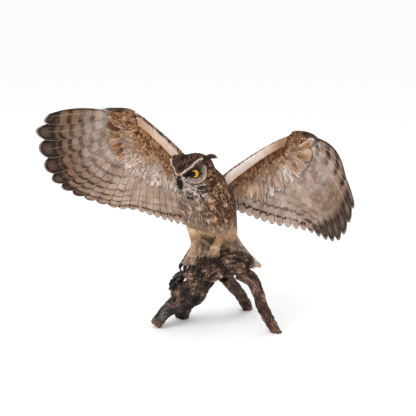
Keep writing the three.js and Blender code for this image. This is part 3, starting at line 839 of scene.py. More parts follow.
def wing_core(wing):
    """Closed arm and hand: rings round the wing from the underside's rim over the nose."""
    feather = np.linspace(-0.3, SHOULDER, 90)
    reach = np.interp(feather, COVERT_ENDS, COVERT_REACH)
    share = np.linspace(0, 1, 16) ** 1.5
    p = np.stack(np.broadcast_arrays(feather[:, None], reach[:, None] * share), -1)
    under, top = wing_skin(wing, 1)(p), wing_skin(wing, -1)(p)
    return closed_grid(np.concatenate([under[:, ::-1], top[:, 1:]], 1))


def head_ball(rows=90, columns=140):
    """Closed head: the skin's radius over a grid of directions with tiny filled ends."""
    down, turn = crossed(np.linspace(0.02, np.pi - 0.02, rows), np.arange(columns) * TURN / columns)
    return closed_grid(head_surface(ball_way(down, turn)))


def tuft_limb(side):
    """Core of an ear tuft."""
    stations = [[*in_head([f, side * s, u]), wide, deep] for f, s, u, wide, deep in TUFT]
    return limb(stations, side=(0, 1, 0), shrink=1.2)


torso = limb(TORSO, shrink=COAT)
leg_limbs = {side: limb(LEGS[side], shrink=0.7) for side in LEGS}
toe_limbs, claw_limbs, pads = {}, {}, []
for foot, (x, y, z) in HEELS.items():
    for number, toe in enumerate(TOES):
        toe_path, claw_path, level = toe_stations((x, y, z), FOOT_TURN[foot], toe)
        toe_limbs[foot, number] = limb(toe_path, side=level, shrink=0.5)
        claw_limbs[foot, number] = limb(claw_path, side=level)
    pad = [[x, y, z + 6, 5, 5], [x, y, z + 1, 8, 8.4], [x, y, z - 4, 8, 8.4], [x, y, z - 8, 4, 4]]
    pads.append(tube(limb(pad), 12, 24))

skin = fused("skin", [tube(torso, 60, 72), head_ball(), *(tube(leg, 24, 32) for leg in leg_limbs.values()),
                      *(tube(toe, 20, 20) for toe in toe_limbs.values()), *pads,
                      *(tube(tuft_limb(side), 16, 16) for side in (1, -1)),
                      *(wing_core(wing) for wing in WINGS.values())], VOXEL)
unwrap(skin)


def face_places(mesh):
    """Middle of each face on the bake map."""
    uv = fetch(mesh.uv_layers["OFBake"].data, "uv", 2)
    start, total = (fetch(mesh.polygons, field, kind=np.int32) for field in ("loop_start", "loop_total"))
    return np.add.reduceat(uv, start, axis=0) / total[:, None]


skin_tree = BVHTree.FromObject(skin, bpy.context.evaluated_depsgraph_get())
skin_places = face_places(skin.data)


def bake_places(roots):
    """Place on the skin's bake map nearest to each root, and the root's distance from the skin."""
    found = [skin_tree.find_nearest(Vector(root)) for root in to_frame(roots)]
    return skin_places[[hit[2] for hit in found]], np.array([hit[3] for hit in found]) * 1000


def bare(points, slack=2.0):
    """Whether each point lies on the skin and not inside the body."""
    return bake_places(points)[1] < slack


# ---- Small feathers --------------------------------------------------------------------------

VANE_U = np.array([0.0, 0.2, 0.42, 0.64, 0.84, 1.0])
VANE_V = np.array([-1.0, -0.5, 0.0, 0.5, 1.0])
FULL_WIDTH = 0.55             # place along a vane where it is widest
TIP_BOW = 0.14                # how far the tip's sides lie back, over the vane's width
ROOT_SINK = 0.25              # depth of the vane's root under the surface


def vane_faces(rows, columns):
    """Faces of a closed vane: a grid seen from above, and one from below that shares its rim."""
    above = np.arange(rows * columns).reshape(rows, columns)
    below = above.copy()
    below[1:-1, 1:-1] = rows * columns + np.arange((rows - 2) * (columns - 2)).reshape(rows - 2, columns - 2)
    return quads(above), quads(below)[:, ::-1]


def each_with(faces, count, size, base=0):
    """The same faces for each of `count` vanes of `size` vertices, numbered from `base`."""
    return (faces[None] + (base + np.arange(count) * size)[:, None, None]).reshape(-1, 4)


def closed_vanes(above, below):
    """Vertices of many vanes: each grid's upper points, then the inner ones of its lower points."""
    inner = below[:, 1:-1, 1:-1]
    return np.concatenate([above.reshape(len(above), -1, above.shape[-1]),
                           inner.reshape(len(inner), -1, inner.shape[-1])], 1)


def grid_normals(points):
    """Unit normals of many grids from the differences along their rows and columns."""
    return unit(np.cross(np.gradient(points, axis=1), np.gradient(points, axis=2)))


def steps_on(surface, root, heading, hand):
    """Parameter steps of one millimetre ahead, along `heading` laid on the surface, and one across,
    for a surface of two parameters. `hand` is the sign that turns its normal outwards."""
    over, down = ((surface(root + way) - surface(root - way)) / (2 * STEP) for way in STEP * np.eye(2))
    normal = unit(np.cross(over, down)) * hand
    ahead = unit(heading - normal * (normal * heading).sum(-1, keepdims=True))
    across = np.cross(normal, ahead)
    aa, ab, bb = (over**2).sum(-1), (over * down).sum(-1), (down**2).sum(-1)
    area = aa * bb - ab**2

    def share(direction):
        a, b = (over * direction).sum(-1), (down * direction).sum(-1)
        return np.stack([bb * a - ab * b, aa * b - ab * a], -1) / area[:, None]
    return share(ahead), share(across)


def lay_vanes(surface, root, ahead, across, length, width, neck=0.55, point=0.5, lift=0.9, cup=0.35,
              thick=0.55):
    """Thin closed vanes laid on a surface. Each runs `length` ahead of its root; its half width is
    a sine from `neck` to full at mid-length and then an ellipse to the share `point` at the tip,
    which bows back at its sides. It rises by `lift` from root to tip and crowns by `cup`."""
    count = len(root)
    length, width = (np.broadcast_to(size, count)[:, None, None] for size in (length, width))
    u, v = crossed(VANE_U, VANE_V)
    grow = neck + (1 - neck) * np.sin(np.pi / 2 * np.minimum(u / FULL_WIDTH, 1))
    late = np.clip((u - FULL_WIDTH) / (1 - FULL_WIDTH), 0, 1)
    half = grow * np.sqrt(1 - (1 - point**2) * late**2.2)
    run = length * u - TIP_BOW * width * v**2 * smooth(0.4, 1, u)
    aside = width / 2 * half * v
    ahead, across = (way[:, None, None] for way in (ahead, across))
    base = surface(root[:, None, None] + ahead * run[..., None] + across * aside[..., None])
    normal = grid_normals(base)
    crown = cup * (1 - v**2) * np.sin(np.pi * np.clip(u, 0, 0.9))
    middle = -ROOT_SINK + np.asarray(lift).reshape(-1, 1, 1) * u**1.4 + crown
    body = thick / 2 * np.sqrt(1 - v**4) * np.sqrt(np.clip(4 * u * (1 - u), 0, 1))
    above, below = (base + normal * (middle + side * body)[..., None] for side in (1, -1))
    return {"points": closed_vanes(above, below), "u": u, "v": v}


def toned(batch, tone, ink, *strengths):
    """A batch of vanes with its tones and the strengths of its marks: a dark drop in the ink's
    tone, a pale edge, a dark root that is the statue's wash and painted shade where the next
    feather covers it, and a streak down the shaft."""
    mark = np.stack(np.broadcast_arrays(*strengths), -1).astype(float)
    return {**batch, "tone": tone, "ink": ink, "mark": mark}


painted_roots = []            # root and tone of every small feather, from which the skin is painted
coat_paint = coat_material()


def coat(name, batches, slot):
    """One piece from batches of vanes, with its attributes and its bake map."""
    points, vane, faces, maps, colours, base = [], [], [], [], {"tone": [], "mark": [], "ink": []}, 0
    one = np.concatenate(vane_faces(len(VANE_U), len(VANE_V)))
    for batch in batches:
        count, size = batch["points"].shape[:2]
        points.append(batch["points"].reshape(-1, 3))
        faces.append(each_with(one, count, size, base))
        base += count * size
        flat = np.stack([batch["u"], batch["v"]], -1)[None]
        flat = closed_vanes(flat, flat)
        u, v, rnd = np.broadcast_arrays(flat[..., 0], flat[..., 1], rng.random((count, 1)))
        vane.append(np.stack([u, v, rnd], -1).reshape(-1, 3))
        place = bake_places(batch["points"][:, len(VANE_V) // 2])[0]
        spread = (flat - [0.5, 0.0]) * [PATCH, PATCH / 2]
        maps.append((place[:, None] + spread).reshape(-1, 2))
        for key in colours:
            values = np.broadcast_to(batch[key], (count, batch[key].shape[-1]))
            values = opaque(values) if values.shape[-1] == 3 else values
            colours[key].append(np.repeat(values, size, 0))
        roots = batch["points"][:, len(VANE_V) + len(VANE_V) // 2]
        painted_roots.append((roots, np.broadcast_to(batch["tone"], (count, 3))))
    piece = make_mesh(name, np.concatenate(points), np.concatenate(faces))
    give(piece, "vane", np.concatenate(vane))
    for key, values in colours.items():
        give(piece, key, np.concatenate(values))
    give_bake_map(piece, np.concatenate(maps))
    finish_piece(piece, coat_paint, slot)


def jittered(vectors, degrees):
    """Unit vectors knocked about by a few degrees."""
    return unit(unit(vectors) + rng.normal(0, 1, vectors.shape) * np.radians(degrees))


def rings(surface, start, gap, low, high):
    """Staggered roots round a limb: rings `gap` apart along its path, measured at the angle
    `start`, and spaced `gap` along each."""
    runs = np.linspace(low, high, 200)
    miles = mileage(surface(np.stack([runs, np.full(200, start)], -1)))
    angles = np.linspace(0, TURN, 181)
    roots = []
    for k, run in enumerate(np.interp(np.arange(gap / 2, miles[-1], gap), miles, runs)):
        girth = mileage(surface(np.stack([np.full(181, run), angles], -1)))
        number = max(int(girth[-1] / gap), 3)
        places = (np.arange(number) + 0.5 * (k % 2)) / number * girth[-1]
        angle = np.interp(places + rng.normal(0, gap * 0.08, number), girth, angles)
        roots.append(np.stack([run + rng.normal(0, gap * 0.1 / miles[-1], number), angle], -1))
    return np.concatenate(roots)


def down_limb(surface, root, sign, wobble):
    """Way along a limb's path at each root: sign 1 towards run 1, -1 towards run 0."""
    step = np.array([STEP, 0])
    return jittered((surface(root + step) - surface(root - step)) * sign, wobble)


# ---- Paint: where each tone lies -------------------------------------------------------------

C = {name: colour(code) for name, code in {
    "crown": "6b4a3b", "crown_dark": "2a1c17", "brow": "e2c6ae", "lores": "0b0808",
    "ring_grey": "9a8b80", "disc": "ccb09b", "chin": "d8c6b8", "cheek": "5b3722",
    "cheek_pale": "bd8f69", "nape": "4b2f1f", "throat": "e4d6ca", "throat_dark": "261a14",
    "breast_white": "d3bbab", "ochre": "bd946e", "ochre_deep": "8d6546", "belly": "ceae92",
    # "hollow" is a painted shade for the hollow at the root of the tail.
    "tan": "c6a07c", "hollow": "50391b", "back": "6f4e3a", "spot": "2c1a13", "spot_soft": "54382a",
    "black": "17110f", "toe": "c4a88d", "covert_ochre": "c08a58", "covert_brown": "7c4a2a",
    "covert_white": "dccdc2", "covert_peach": "d0a685", "covert_grey": "b9a190", "strip": "dccdc3",
    "fringe": "694a39", "fringe_pale": "b0917a", "over": "6c4b37", "over_pale": "9c785c",
}.items()}


def layered(base, *layers):
    """A base tone with (share, tone) layers painted over it in turn. A tone is a name or an array
    of tones, and a share one number or one for each point."""
    result = C[base] if isinstance(base, str) else base
    for share, tone in layers:
        result = mix(result, C[tone] if isinstance(tone, str) else tone, np.asarray(share)[..., None])
    return result


def plane_waves(points, size, seed, count, longest):
    """Phases at each point of several random plane waves of about one size."""
    waves = np.random.default_rng(seed)
    ways = unit(waves.normal(size=(count, 3))) * TURN / size * waves.uniform(0.7, longest, (count, 1))
    return points @ ways.T + waves.uniform(0, 6.28, count)


def patchy(points, size, seed):
    """Smooth random values from about -1 to 1: the sum of a few plane waves."""
    return np.sin(plane_waves(points, size, seed, 7, 1.4)).sum(-1) / 3.0


def one_of(count, *choices):
    """A tone for each feather, picked at random from (share, tone) pairs."""
    shares = np.array([share for share, _ in choices])
    pick = rng.choice(len(choices), count, p=shares / sum(share for share, _ in choices))
    return np.array([C[tone] for _, tone in choices])[pick]


def streaked(phase, width):
    """Pale throat feathers with dark streaks across, where the sine of `phase` is high."""
    return layered("throat", (0.95 * smooth(-0.1, width, np.sin(phase)), "throat_dark"))


def paint_trunk(points):
    """Tone, drop and edge strengths, and the shares of throat and thighs, at points of the neck,
    trunk and thighs."""
    x, y, z = points.T
    rows = np.array(TORSO)
    axis = along(rows[:, 2], rows[:, :2], z)
    front = -(y - axis[:, 1]) / np.interp(z, rows[:, 2], rows[:, 4])
    aside = (x - axis[:, 0]) / rows[:, 3].max()
    rough = patchy(points, 22, 3)
    fine = patchy(points, 10, 6)
    belly = smooth(200, 174, z + 6 * rough)
    white = smooth(0.9, -0.1, np.abs(aside + 0.26) + 0.16 * rough + 0.1 * fine) * smooth(160, 190, z)
    throat = (smooth(218, 232, z + 3 * rough) * smooth(0.0, 0.5, front)
              * smooth(0.8, 0.45, np.abs(aside + 0.15)))
    low = smooth(176, 158, z)
    # Painted shade: a dark olive-brown patch low on the back, in the hollow at the root of the tail.
    hollow = smooth(165, 153, z) * smooth(18, 9, np.abs(x)) * smooth(-1.2, -0.4, front)
    count = len(points)
    tone = layered(one_of(count, (0.35, "ochre"), (0.35, "ochre_deep"), (0.3, "belly")),
                   (white, one_of(count, (0.7, "breast_white"), (0.3, "belly"))),
                   (belly * 0.85, "belly"),
                   (low * 0.9, "tan"),
                   (throat * 0.95, streaked(0.77 * z + 2.0 * rough + 1.5 * fine, 0.4)),
                   (smooth(0.1, -0.35, front) * 0.9, one_of(count, (0.7, "back"), (0.3, "over_pale"))),
                   (hollow * 0.9, "hollow"))
    side = smooth(0.1, 0.8, np.abs(aside + 0.1))
    spot = (0.85 + 0.15 * side) * mix(1, 0.7, belly) * mix(1, 0.08, low)
    edge = 0.45 - 0.35 * throat + 0.15 * side
    return tone, np.clip(spot, 0, 1), edge, throat, low


def paint_head(h):
    """Tone, drop and edge strengths at places in the head, [forward, sideways, up], with the shares
    of cap and face there and the distance from the lids' opening."""
    here = folded(h)
    f, s, u = here.T
    count = len(h)
    brow_line = np.array(BROW)
    over = u - np.interp(s, brow_line[:, 1], brow_line[:, 2])
    cap = smooth(-0.4, 0.8, over) * smooth(-14, 4, f + 0.35 * (u - 20))
    cap = np.maximum(cap, smooth(26, 30, u))
    eye = np.linalg.norm(here - EYE_OPENING, axis=1)
    lores = from_line(here, along_rows([[36, 7.5, 4.4], [33, 10.5, 5.4], [28, 14, 6.0]], 30))
    facing = smooth(6, 12, f)
    ring = smooth(16.8, 16.0, eye) * facing
    low_face = smooth(2, -3, u) * smooth(12, 20, f)
    chin = smooth(-10, -15, u) * smooth(12, 20, f)
    between = smooth(17, 10, s) * smooth(18, 26, f) * smooth(4, 0, u)
    # Painted shadow: a dark band just under the brow and over the eye, where the brow overhangs.
    above = smooth(0, 5, u - 10) * smooth(1.0, -0.5, over) * facing
    tone = layered(one_of(count, (0.5, "cheek"), (0.22, "nape"), (0.28, "cheek_pale")),
                   (smooth(4, -14, f) * 0.9, one_of(count, (0.8, "nape"), (0.2, "back"))),
                   (np.maximum(ring, low_face * smooth(20, 14, s)),
                    one_of(count, (0.6, "disc"), (0.2, "chin"), (0.2, "ring_grey"))),
                   (smooth(13.2, 11.8, eye) * ring, "ring_grey"),
                   (between * 0.9, one_of(count, (0.6, "chin"), (0.4, "ring_grey"))),
                   (chin * 0.95, streaked(1.0 * u + 2.2 * patchy(h, 13, 5), 0.5)),
                   (smooth(10.0, 8.9, eye) * 0.95, "lores"),
                   (smooth(5.6, 3.6, lores) * (over < 0.5), "lores"),
                   (above * smooth(12, 20, s) * 0.85, "crown_dark"),
                   (cap, one_of(count, (0.55, "crown"), (0.45, "crown_dark"))))
    face = ring * (1 - cap)
    spot = np.where(cap > 0.5, 0.55, 0.75) * (1 - face) * (1 - 0.8 * chin)
    edge = np.where(cap > 0.5, 0.25, 0.7) * (1 - 0.8 * face) * (1 - 0.8 * chin)
    return tone, spot, edge, cap, face, eye


# ---- Coat of the trunk -----------------------------------------------------------------------

HAND_LIMB = -1                # a limb's parameters turn the other way round


def limb_coat(surface, root, sign, length, width, wobble, **shape):
    """Vanes on a limb, along its path or, with sign -1, back along it."""
    ahead, across = steps_on(surface, root, down_limb(surface, root, sign, wobble), HAND_LIMB)
    return lay_vanes(surface, root, ahead, across, length, width, **shape)


def trunk_batches():
    """Feathers of the trunk, smaller towards the throat."""
    batches = []
    for gap, low, high in ((5.5, 0.02, 0.76), (4.1, 0.76, 0.99)):
        root = rings(torso, -np.pi / 2, gap, low, high)
        root = root[bare(torso(root))]
        count = len(root)
        tone, spot, edge, throat, thigh = paint_trunk(torso(root))
        length = gap * 2.2 * rng.uniform(0.85, 1.15, count)
        width = gap * mix(1.35, 0.9, throat) * rng.uniform(0.85, 1.15, count)
        batch = limb_coat(torso, root, -1, length, width, 8.0, lift=mix(1.15, 0.8, thigh), cup=0.5,
                          point=0.3)
        spot = spot * (rng.random(count) > 0.12) * (1 - throat * 0.5)
        batches.append(toned(batch, tone * rng.uniform(0.85, 1.1, (count, 1)),
                             mix(C["spot"], C["spot_soft"], rng.uniform(0.2, 0.9, (count, 1))),
                             spot, edge, mix(0.6, 0.3, thigh), 0.3 * (1 - thigh)))
    return batches


def leg_batches():
    """Short feathers of the legs and toes."""
    batches = []
    for side, surface in leg_limbs.items():
        root = rings(surface, 0.0, 3.6, 0.22, 0.99)
        places = surface(root)
        tone = layered("tan", (smooth(150, 128, places[:, 2]) * 0.5, "toe"),
                       (smooth(0.25, 0.7, patchy(places, 14, 9)) * 0.25, "cheek"))
        batch = limb_coat(surface, root, 1, 7.5, 3.4, 8.0, lift=0.55, cup=0.2, point=0.2, thick=0.4)
        batches.append(toned(batch, tone, C["spot_soft"], 0.0, 0.3, 0.3, 0.12))
    for (side, _), surface in toe_limbs.items():
        root = rings(surface, 0.0, 2.9, 0.02, 0.82)
        dark = 0.85 if side == "left" else 0.3
        tone = layered("toe", (smooth(0.0, 0.8, patchy(surface(root), 7, 12)) * 0.5, "cheek"),
                       (smooth(0.3, 0.7, root[:, 0]) * dark, "spot"))
        batch = limb_coat(surface, root, 1, 5.6, 2.7, 10.0, lift=0.45, cup=0.2, point=0.3, thick=0.4)
        batches.append(toned(batch, tone, C["spot_soft"], 0.0, 0.35, 0.5, 0.2))
    return batches


coat("feathers_trunk", trunk_batches(), "plumage_body")
coat("feathers_legs", leg_batches(), "leg_plumage")


# ---- Coat of the head ------------------------------------------------------------------------

def ball_roots(count):
    """Directions spread evenly over a ball along a golden spiral."""
    k = np.arange(count) + 0.5
    return ball_way(np.arccos(1 - 2 * k / count), np.pi * (1 + 5**0.5) * k)


def head_places(direction):
    """Places on the head's skin in the given directions."""
    return direction * head_radius(direction)[..., None]


def head_vanes(root, heading, length, width, wobble, **shape):
    """Vanes on the head: places in the head serve as the surface's own parameters."""
    direction = unit(root)
    ahead = jittered(heading - direction * (direction * heading).sum(-1, keepdims=True), wobble)
    return lay_vanes(head_surface, root, ahead, np.cross(direction, ahead), length, width, **shape)


def head_batches():
    """Feathers of the crown, nape and cheeks, and the finer ones of the face and round the bill."""
    batches = []
    for count, fine in ((1350, False), (3300, True)):
        root = head_places(ball_roots(count))
        paints = paint_head(root)
        face, eye = paints[4:]
        bill = np.linalg.norm(root - BILL_MIDDLE, axis=1)
        near = np.maximum(face, smooth(17, 13, bill))
        keep = (near > 0.5 if fine else near <= 0.5) & (eye > 7.2) & (bill > 4.5) & bare(in_head(root))
        keep &= np.linalg.norm(folded(root) - EYE, axis=1) > 9.4
        root, tone, spot, edge, cap, face, eye = (values[keep] for values in (root, *paints))
        count = len(root)
        from_bill = unit(root - [37, 0, -2])
        from_eye = unit(root - EYE_OPENING * np.where([False, True, False], np.sign(root[:, 1:2]), 1))
        heading = np.where((face > 0.5)[:, None], from_eye + 0.25 * from_bill, from_bill)
        heading = heading + np.array([0, 0, -0.25]) * (1 - cap)[:, None] * (root[:, 0] < 15)[:, None]
        if fine:
            length = mix(3.4, 5.2, smooth(8, 18, eye)) * rng.uniform(0.85, 1.15, count)
            batch = head_vanes(root, heading, length, 1.35, 8, lift=0.7, cup=0.15, point=0.15, thick=0.35,
                               neck=0.5)
        else:
            length = mix(7.6, 6.0, cap) * rng.uniform(0.85, 1.15, count)
            batch = head_vanes(root, heading, length, mix(3.3, 3.2, cap), 9, cup=0.35, point=0.3, thick=0.45)
        spot = spot * (rng.random(count) > 0.4) * (1 - face)
        batches.append(toned(batch, tone * rng.uniform(0.82, 1.12, (count, 1)),
                             mix(C["spot"], C["crown_dark"], cap[:, None]),
                             spot, edge, mix(0.7, 0.25, face), 0.3 * (1 - face)))
    return batches


def brow_batches(side):
    """Pale feathers standing along a brow, from the bill to the ear tuft."""
    batches = []
    number = 26
    line = along_rows(mirrored(BROW, side), number, 0.1)
    heading = np.gradient(line, axis=0) + np.array([0, 0, 0.15])
    for lane, shift in enumerate((0.3, -0.7)):
        root = head_places(unit(line + [0, 0, shift]))
        batch = head_vanes(root, heading, 5.5, 1.9, 4, lift=1.5 - 0.3 * lane, cup=0.4, point=0.3, thick=0.6)
        tone = C["brow"] * rng.uniform(0.86, 1.08, (number, 1)) * mix(1, 0.85, lane)
        batches.append(toned(batch, tone, C["cheek"], 0.0, 0.3, 0.35, 0.1))
    return batches


def ring_batches(side):
    """Neat rings of feathers round an eye: grey, then pale, then the dark edge of the face."""
    batches = []
    opening = mirrored(EYE_OPENING, side)
    _, level, up = ball_frame(opening)
    for reach, tone in ((13.0, "ring_grey"), (15.2, "disc"), (17.6, "nape")):
        turn = np.radians(np.arange(-110, 34, 84 / reach))[:, None]
        out = level * side * np.cos(turn) + up * np.sin(turn)
        root = head_places(unit(opening + reach * out))
        heading = 0.5 * out + level * side * np.sin(turn) - up * np.cos(turn)
        batch = head_vanes(root, heading, 4.4, 2.1, 5, cup=0.3, point=0.3, thick=0.45)
        tone = C[tone] * rng.uniform(0.88, 1.08, turn.shape)
        batches.append(toned(batch, tone, C["cheek"], 0.0, 0.3, 0.4, 0.15))
    return batches


def bristle_batches(side, number=34, widest=7.5):
    """Stiff pale feathers that stand over the root of the bill."""
    aside = rng.uniform(0.3, widest, number)
    share = aside / widest
    high = 6.0 - 10 * rng.random(number) * aside / widest
    root = head_places(unit(np.stack([np.full(number, 36.0), side * aside, high], -1)))
    heading = np.array([0.5, 0.15 * side, -0.9])
    batch = head_vanes(root, heading, mix(7.0, 4.8, share), 1.6, 12, lift=mix(4.8, 1.2, share), cup=0.2,
                       point=0.2, thick=0.4)
    tone = one_of(number, (0.5, "chin"), (0.3, "ring_grey"), (0.2, "brow"))
    return [toned(batch, tone, C["black"], 0.0, 0.2, 0.5, 0.3)]


def tuft_batches(side):
    """Dark feathers of an ear tuft."""
    surface = tuft_limb(side)
    root = rings(surface, 0.0, 3.2, 0.02, 0.9)
    outer = smooth(-6, 2, to_head(surface(root))[:, 2] - 22)
    tip = root[:, 0]
    length = mix(7.0, 8.5, tip) * rng.uniform(0.85, 1.15, len(root))
    batch = limb_coat(surface, root, 1, length, mix(3.6, 3.0, tip), 7.0, cup=0.3, point=0.25, thick=0.5)
    tone = one_of(len(root), (0.6, "crown_dark"), (0.32, "crown"), (0.08, "cheek_pale"))
    return [toned(batch, tone, C["black"], 0.2, 0.3 + 0.2 * outer, 0.4, 0.4)]


head_coat = head_batches()
for make in (brow_batches, ring_batches, bristle_batches, tuft_batches):
    for side in (1, -1):
        head_coat += make(side)
coat("feathers_head", head_coat, "plumage_dark")


# ---- Coat of the wings -----------------------------------------------------------------------

CHORD_F = np.linspace(-0.4, SHOULDER, 103)
CHORD_Q = np.linspace(0, 1.2, 97)
MOST_STEP = np.array([0.19, 0.035])   # most feathers, and most of the chord, in one millimetre
# Strength of the dark root of each kind of covert: the statue's wash and painted shade where the next row
# covers it.
ROOT_WASH_AND_SHADE = {"lesser": 0.75, "median": 0.65, "greater": 0.55, "lobe": 0.7, "pale lobe": 0.2}
STREAK = {"lesser": 0.55, "median": 0.3, "greater": 0.3, "lobe": 0.6, "pale lobe": 0.3}


def chord_lengths(wing):
    """Distance from the leading edge at each of CHORD_Q, for each feather of CHORD_F."""
    return np.stack([mileage(line) for line in chord(wing, *crossed(CHORD_F, CHORD_Q))])


def wing_row(wing, lengths, distance, spacing, shift):
    """Roots `spacing` apart on the line across the wing that stays `distance` (one number for each
    of CHORD_F) from the leading edge."""
    distance = np.broadcast_to(distance, len(CHORD_F))
    q = np.array([np.interp(reach, row, CHORD_Q) for reach, row in zip(distance, lengths)])
    arc = mileage(chord(wing, CHORD_F, q))
    places = np.arange((0.25 + 0.5 * shift) * spacing, arc[-1], spacing)
    places = places + rng.normal(0, spacing * 0.06, len(places))
    return np.stack([np.interp(places, arc, CHORD_F), np.interp(places, arc, q)], -1)


def wing_vanes(wing, side, root, turn_out, wobble, length, width, **shape):
    """Vanes on a wing, heading for the trailing edge and turned by `turn_out` towards the tip."""
    surface = wing_skin(wing, side)
    down = unit(surface(root + [0, STEP]) - surface(root - [0, STEP]))
    out = unit(surface(root - [10 * STEP, 0]) - surface(root + [10 * STEP, 0]))
    share = np.broadcast_to(turn_out, len(root))[:, None]
    heading = jittered(down * (1 - share) + out * share, wobble * smooth(-1, 2, root[:, :1]))
    ways = steps_on(surface, root, heading, wing_hand(wing) * side)
    ahead, across = (np.clip(way, -MOST_STEP, MOST_STEP) for way in ways)
    return lay_vanes(surface, root, ahead, across, length, width, **shape)


def covert_batches(name, side):
    """Rows of coverts on one side of a wing: small ones on the arm and on the hand, lobes and long
    ones over the roots of the flight feathers."""
    wing = WINGS[name]
    surface = wing_skin(wing, side)
    lengths = chord_lengths(wing)
    reach = np.interp(CHORD_F, COVERT_ENDS, COVERT_REACH)
    end = np.array([np.interp(r, CHORD_Q, row) for r, row in zip(reach, lengths)])
    strip = smooth(8.9, 9.7, CHORD_F)
    start = mix(1.2, wing["fringe"] + wing["strip"], strip) if side > 0 else np.full(len(CHORD_F), 7.5)
    batches = []

    def add(distance, spacing, shift, length, width, kind, keep, **shape):
        root = wing_row(wing, lengths, distance, spacing, shift)
        root = root[keep(root[:, 0], np.interp(root[:, 0], CHORD_F, end - distance))]
        if not len(root):
            return
        root = root[bare(surface(root))]
        feather = root[:, 0]
        share = np.interp(feather, CHORD_F, (distance - start) / np.maximum(end - start, 5))
        long = length * rng.uniform(0.9, 1.12, len(root)) * mix(0.8, 1.0, smooth(0, 6, feather))
        long = long * mix(1.0, 0.75, smooth(13, 18.5, feather) * (kind != "lesser"))
        outward = mix(0.06, mix(0.85, 0.2, smooth(0.35, 0.7, root[:, 1])), smooth(11.5, 9.0, feather))
        wide = width * rng.uniform(0.85, 1.15, len(root))
        batch = wing_vanes(wing, side, root, outward, 6.0, long, wide, **shape)
        places, share = surface(root), np.clip(share, 0, 1.2)
        if side > 0:
            looks = paint_covert(places, feather, share, kind, wing["grey"])
        else:
            looks = paint_upper(places, share)
        batches.append(toned(batch, *looks))

    travelled = 0.0
    for k in range(24):
        gap = mix(3.6, 4.8, min(k / 9, 1))
        add(start + travelled, gap * 1.05, k % 2, gap * 2.5, gap * 1.15, "lesser",
            lambda feather, left: (left > 9) & (feather > 10.2), lift=1.3, cup=0.5, point=0.4)
        travelled += gap
    for k in range(15):
        add(start * strip + 1.5 + 4.9 * k, 5.6, k % 2, 13, 6.6, "lesser",
            lambda feather, left: (left > 5) & (feather <= 10.4) & (feather > 1.5), lift=1.1, cup=0.6,
            point=0.6)
    for kind, back_by in (("pale lobe", 1), ("lobe", 5)):
        add(end - back_by, 9.0, 0, 23, 12.5 - back_by / 2, kind,
            lambda feather, left: (feather < 8) & (feather > 3.2), lift=1.2 + 0.16 * back_by, cup=1.0,
            point=0.85, neck=0.7)
    for k, back_by in enumerate((15, 10, 5)):
        length = (19 + 1.5 * k) * (1 + 0.8 * wing["grey"])
        add(end - back_by, 5.2, k % 2, length, 5.6, "greater" if k else "median",
            lambda feather, left: feather > mix(9.0, 5.5, k / 2), lift=1.2 - 0.2 * k, cup=0.7)
    return batches


def paint_upper(points, share):
    """Tones and marks of the coverts on top: brown, paler towards the flight feathers."""
    count = len(points)
    spotted = rng.random(count) > 0.3
    pale = smooth(0.2, 1.0, share + 0.2 * patchy(points, 26, 17))
    tone = layered("over", (pale * 0.55, "over_pale"), (smooth(0.3, 0.0, share) * 0.5, "crown"))
    return tone * rng.uniform(0.88, 1.1, (count, 1)), C["spot"], 0.6 * spotted, 0.5, 0.45, 0.3


def paint_covert(points, feather, share, kind, grey):
    """Tones and marks of the coverts below: ochre and spotted near the leading edge, pale and
    streaked towards the flight feathers."""
    count = len(points)
    spotted = rng.random(count) > 0.55
    hand = smooth(9.5, 6.0, feather)
    white = smooth(0.38 + 0.14 * grey, 0.66 + 0.4 * grey, share + 0.12 * patchy(points, 26, 17))
    white = white * (1 - 0.75 * hand) * mix(1, smooth(18, 13, feather), 2 * grey)
    ochre = one_of(count, (0.5, "covert_ochre"), (0.3, "covert_brown"), (0.2, "covert_peach"))
    pale = one_of(count, (0.65, "covert_white"), (0.25, "covert_grey"), (0.1, "covert_peach"))
    # Painted shadow: the first rows below the pale strip go dark brown, much on the left wing and a little
    # on the right.
    tone = layered(ochre, (smooth(0.2, 0.5, share) * 0.45, "covert_peach"),
                   (smooth(0.17, 0.02, share) * (0.8 if grey else 0.2), "covert_brown"),
                   (white * 0.95, pale),
                   (np.maximum(0.8 * (kind == "lobe"), 1.2 * grey * smooth(12, 16, feather)), ochre),
                   (0.7 * (kind == "pale lobe"), "covert_grey"),
                   ((0.35 - grey) * hand, "covert_brown"))
    rim = np.clip(mix(0.35, 0.7, smooth(0.2, 0.5, share)) * mix(1, 1.3, hand), 0, 1.2)
    ink = mix(C["spot"], C["spot_soft"], (0.5 + 0.5 * white)[:, None] * rng.random((count, 1)))
    tone = tone * rng.uniform(0.86, 1.08, (count, 1))
    tone = mix(tone, tone.mean(1, keepdims=True) * [1.05, 1.0, 0.95], grey * 0.3)
    return tone, ink, (1 - white) * 0.6 * spotted, rim, ROOT_WASH_AND_SHADE[kind], STREAK[kind]


def fringe_batches(name):
    """Small dark feathers that fold over the leading edge and point along it to the wing's tip."""
    wing = WINGS[name]
    lengths = chord_lengths(wing)
    batches = []
    under_rows = np.arange(0.8, wing["fringe"] - 2.2, 1.7)
    top_rows = np.arange(1.0, 8.0, 3.0)
    for side, distances, outmost, turn_out in ((1, under_rows, 9.0, 0.93), (-1, top_rows, 2.5, 0.6)):
        for k, distance in enumerate(distances):
            root = wing_row(wing, lengths, distance, 3.2, k % 2)
            root = root[root[:, 0] > outmost]
            root = root[bare(wing_skin(wing, side)(root))]
            count = len(root)
            batch = wing_vanes(wing, side, root, turn_out, 7.0, 6.2 * rng.uniform(0.85, 1.2, count), 3.4,
                               cup=0.35, point=0.3)
            tone = one_of(count, (0.55, "fringe"), (0.2, "spot"), (0.25, "fringe_pale"))
            batches.append(toned(batch, tone, C["black"], 0.1, 0.5 * rng.random(count), 0.5, 0.3))
    return batches


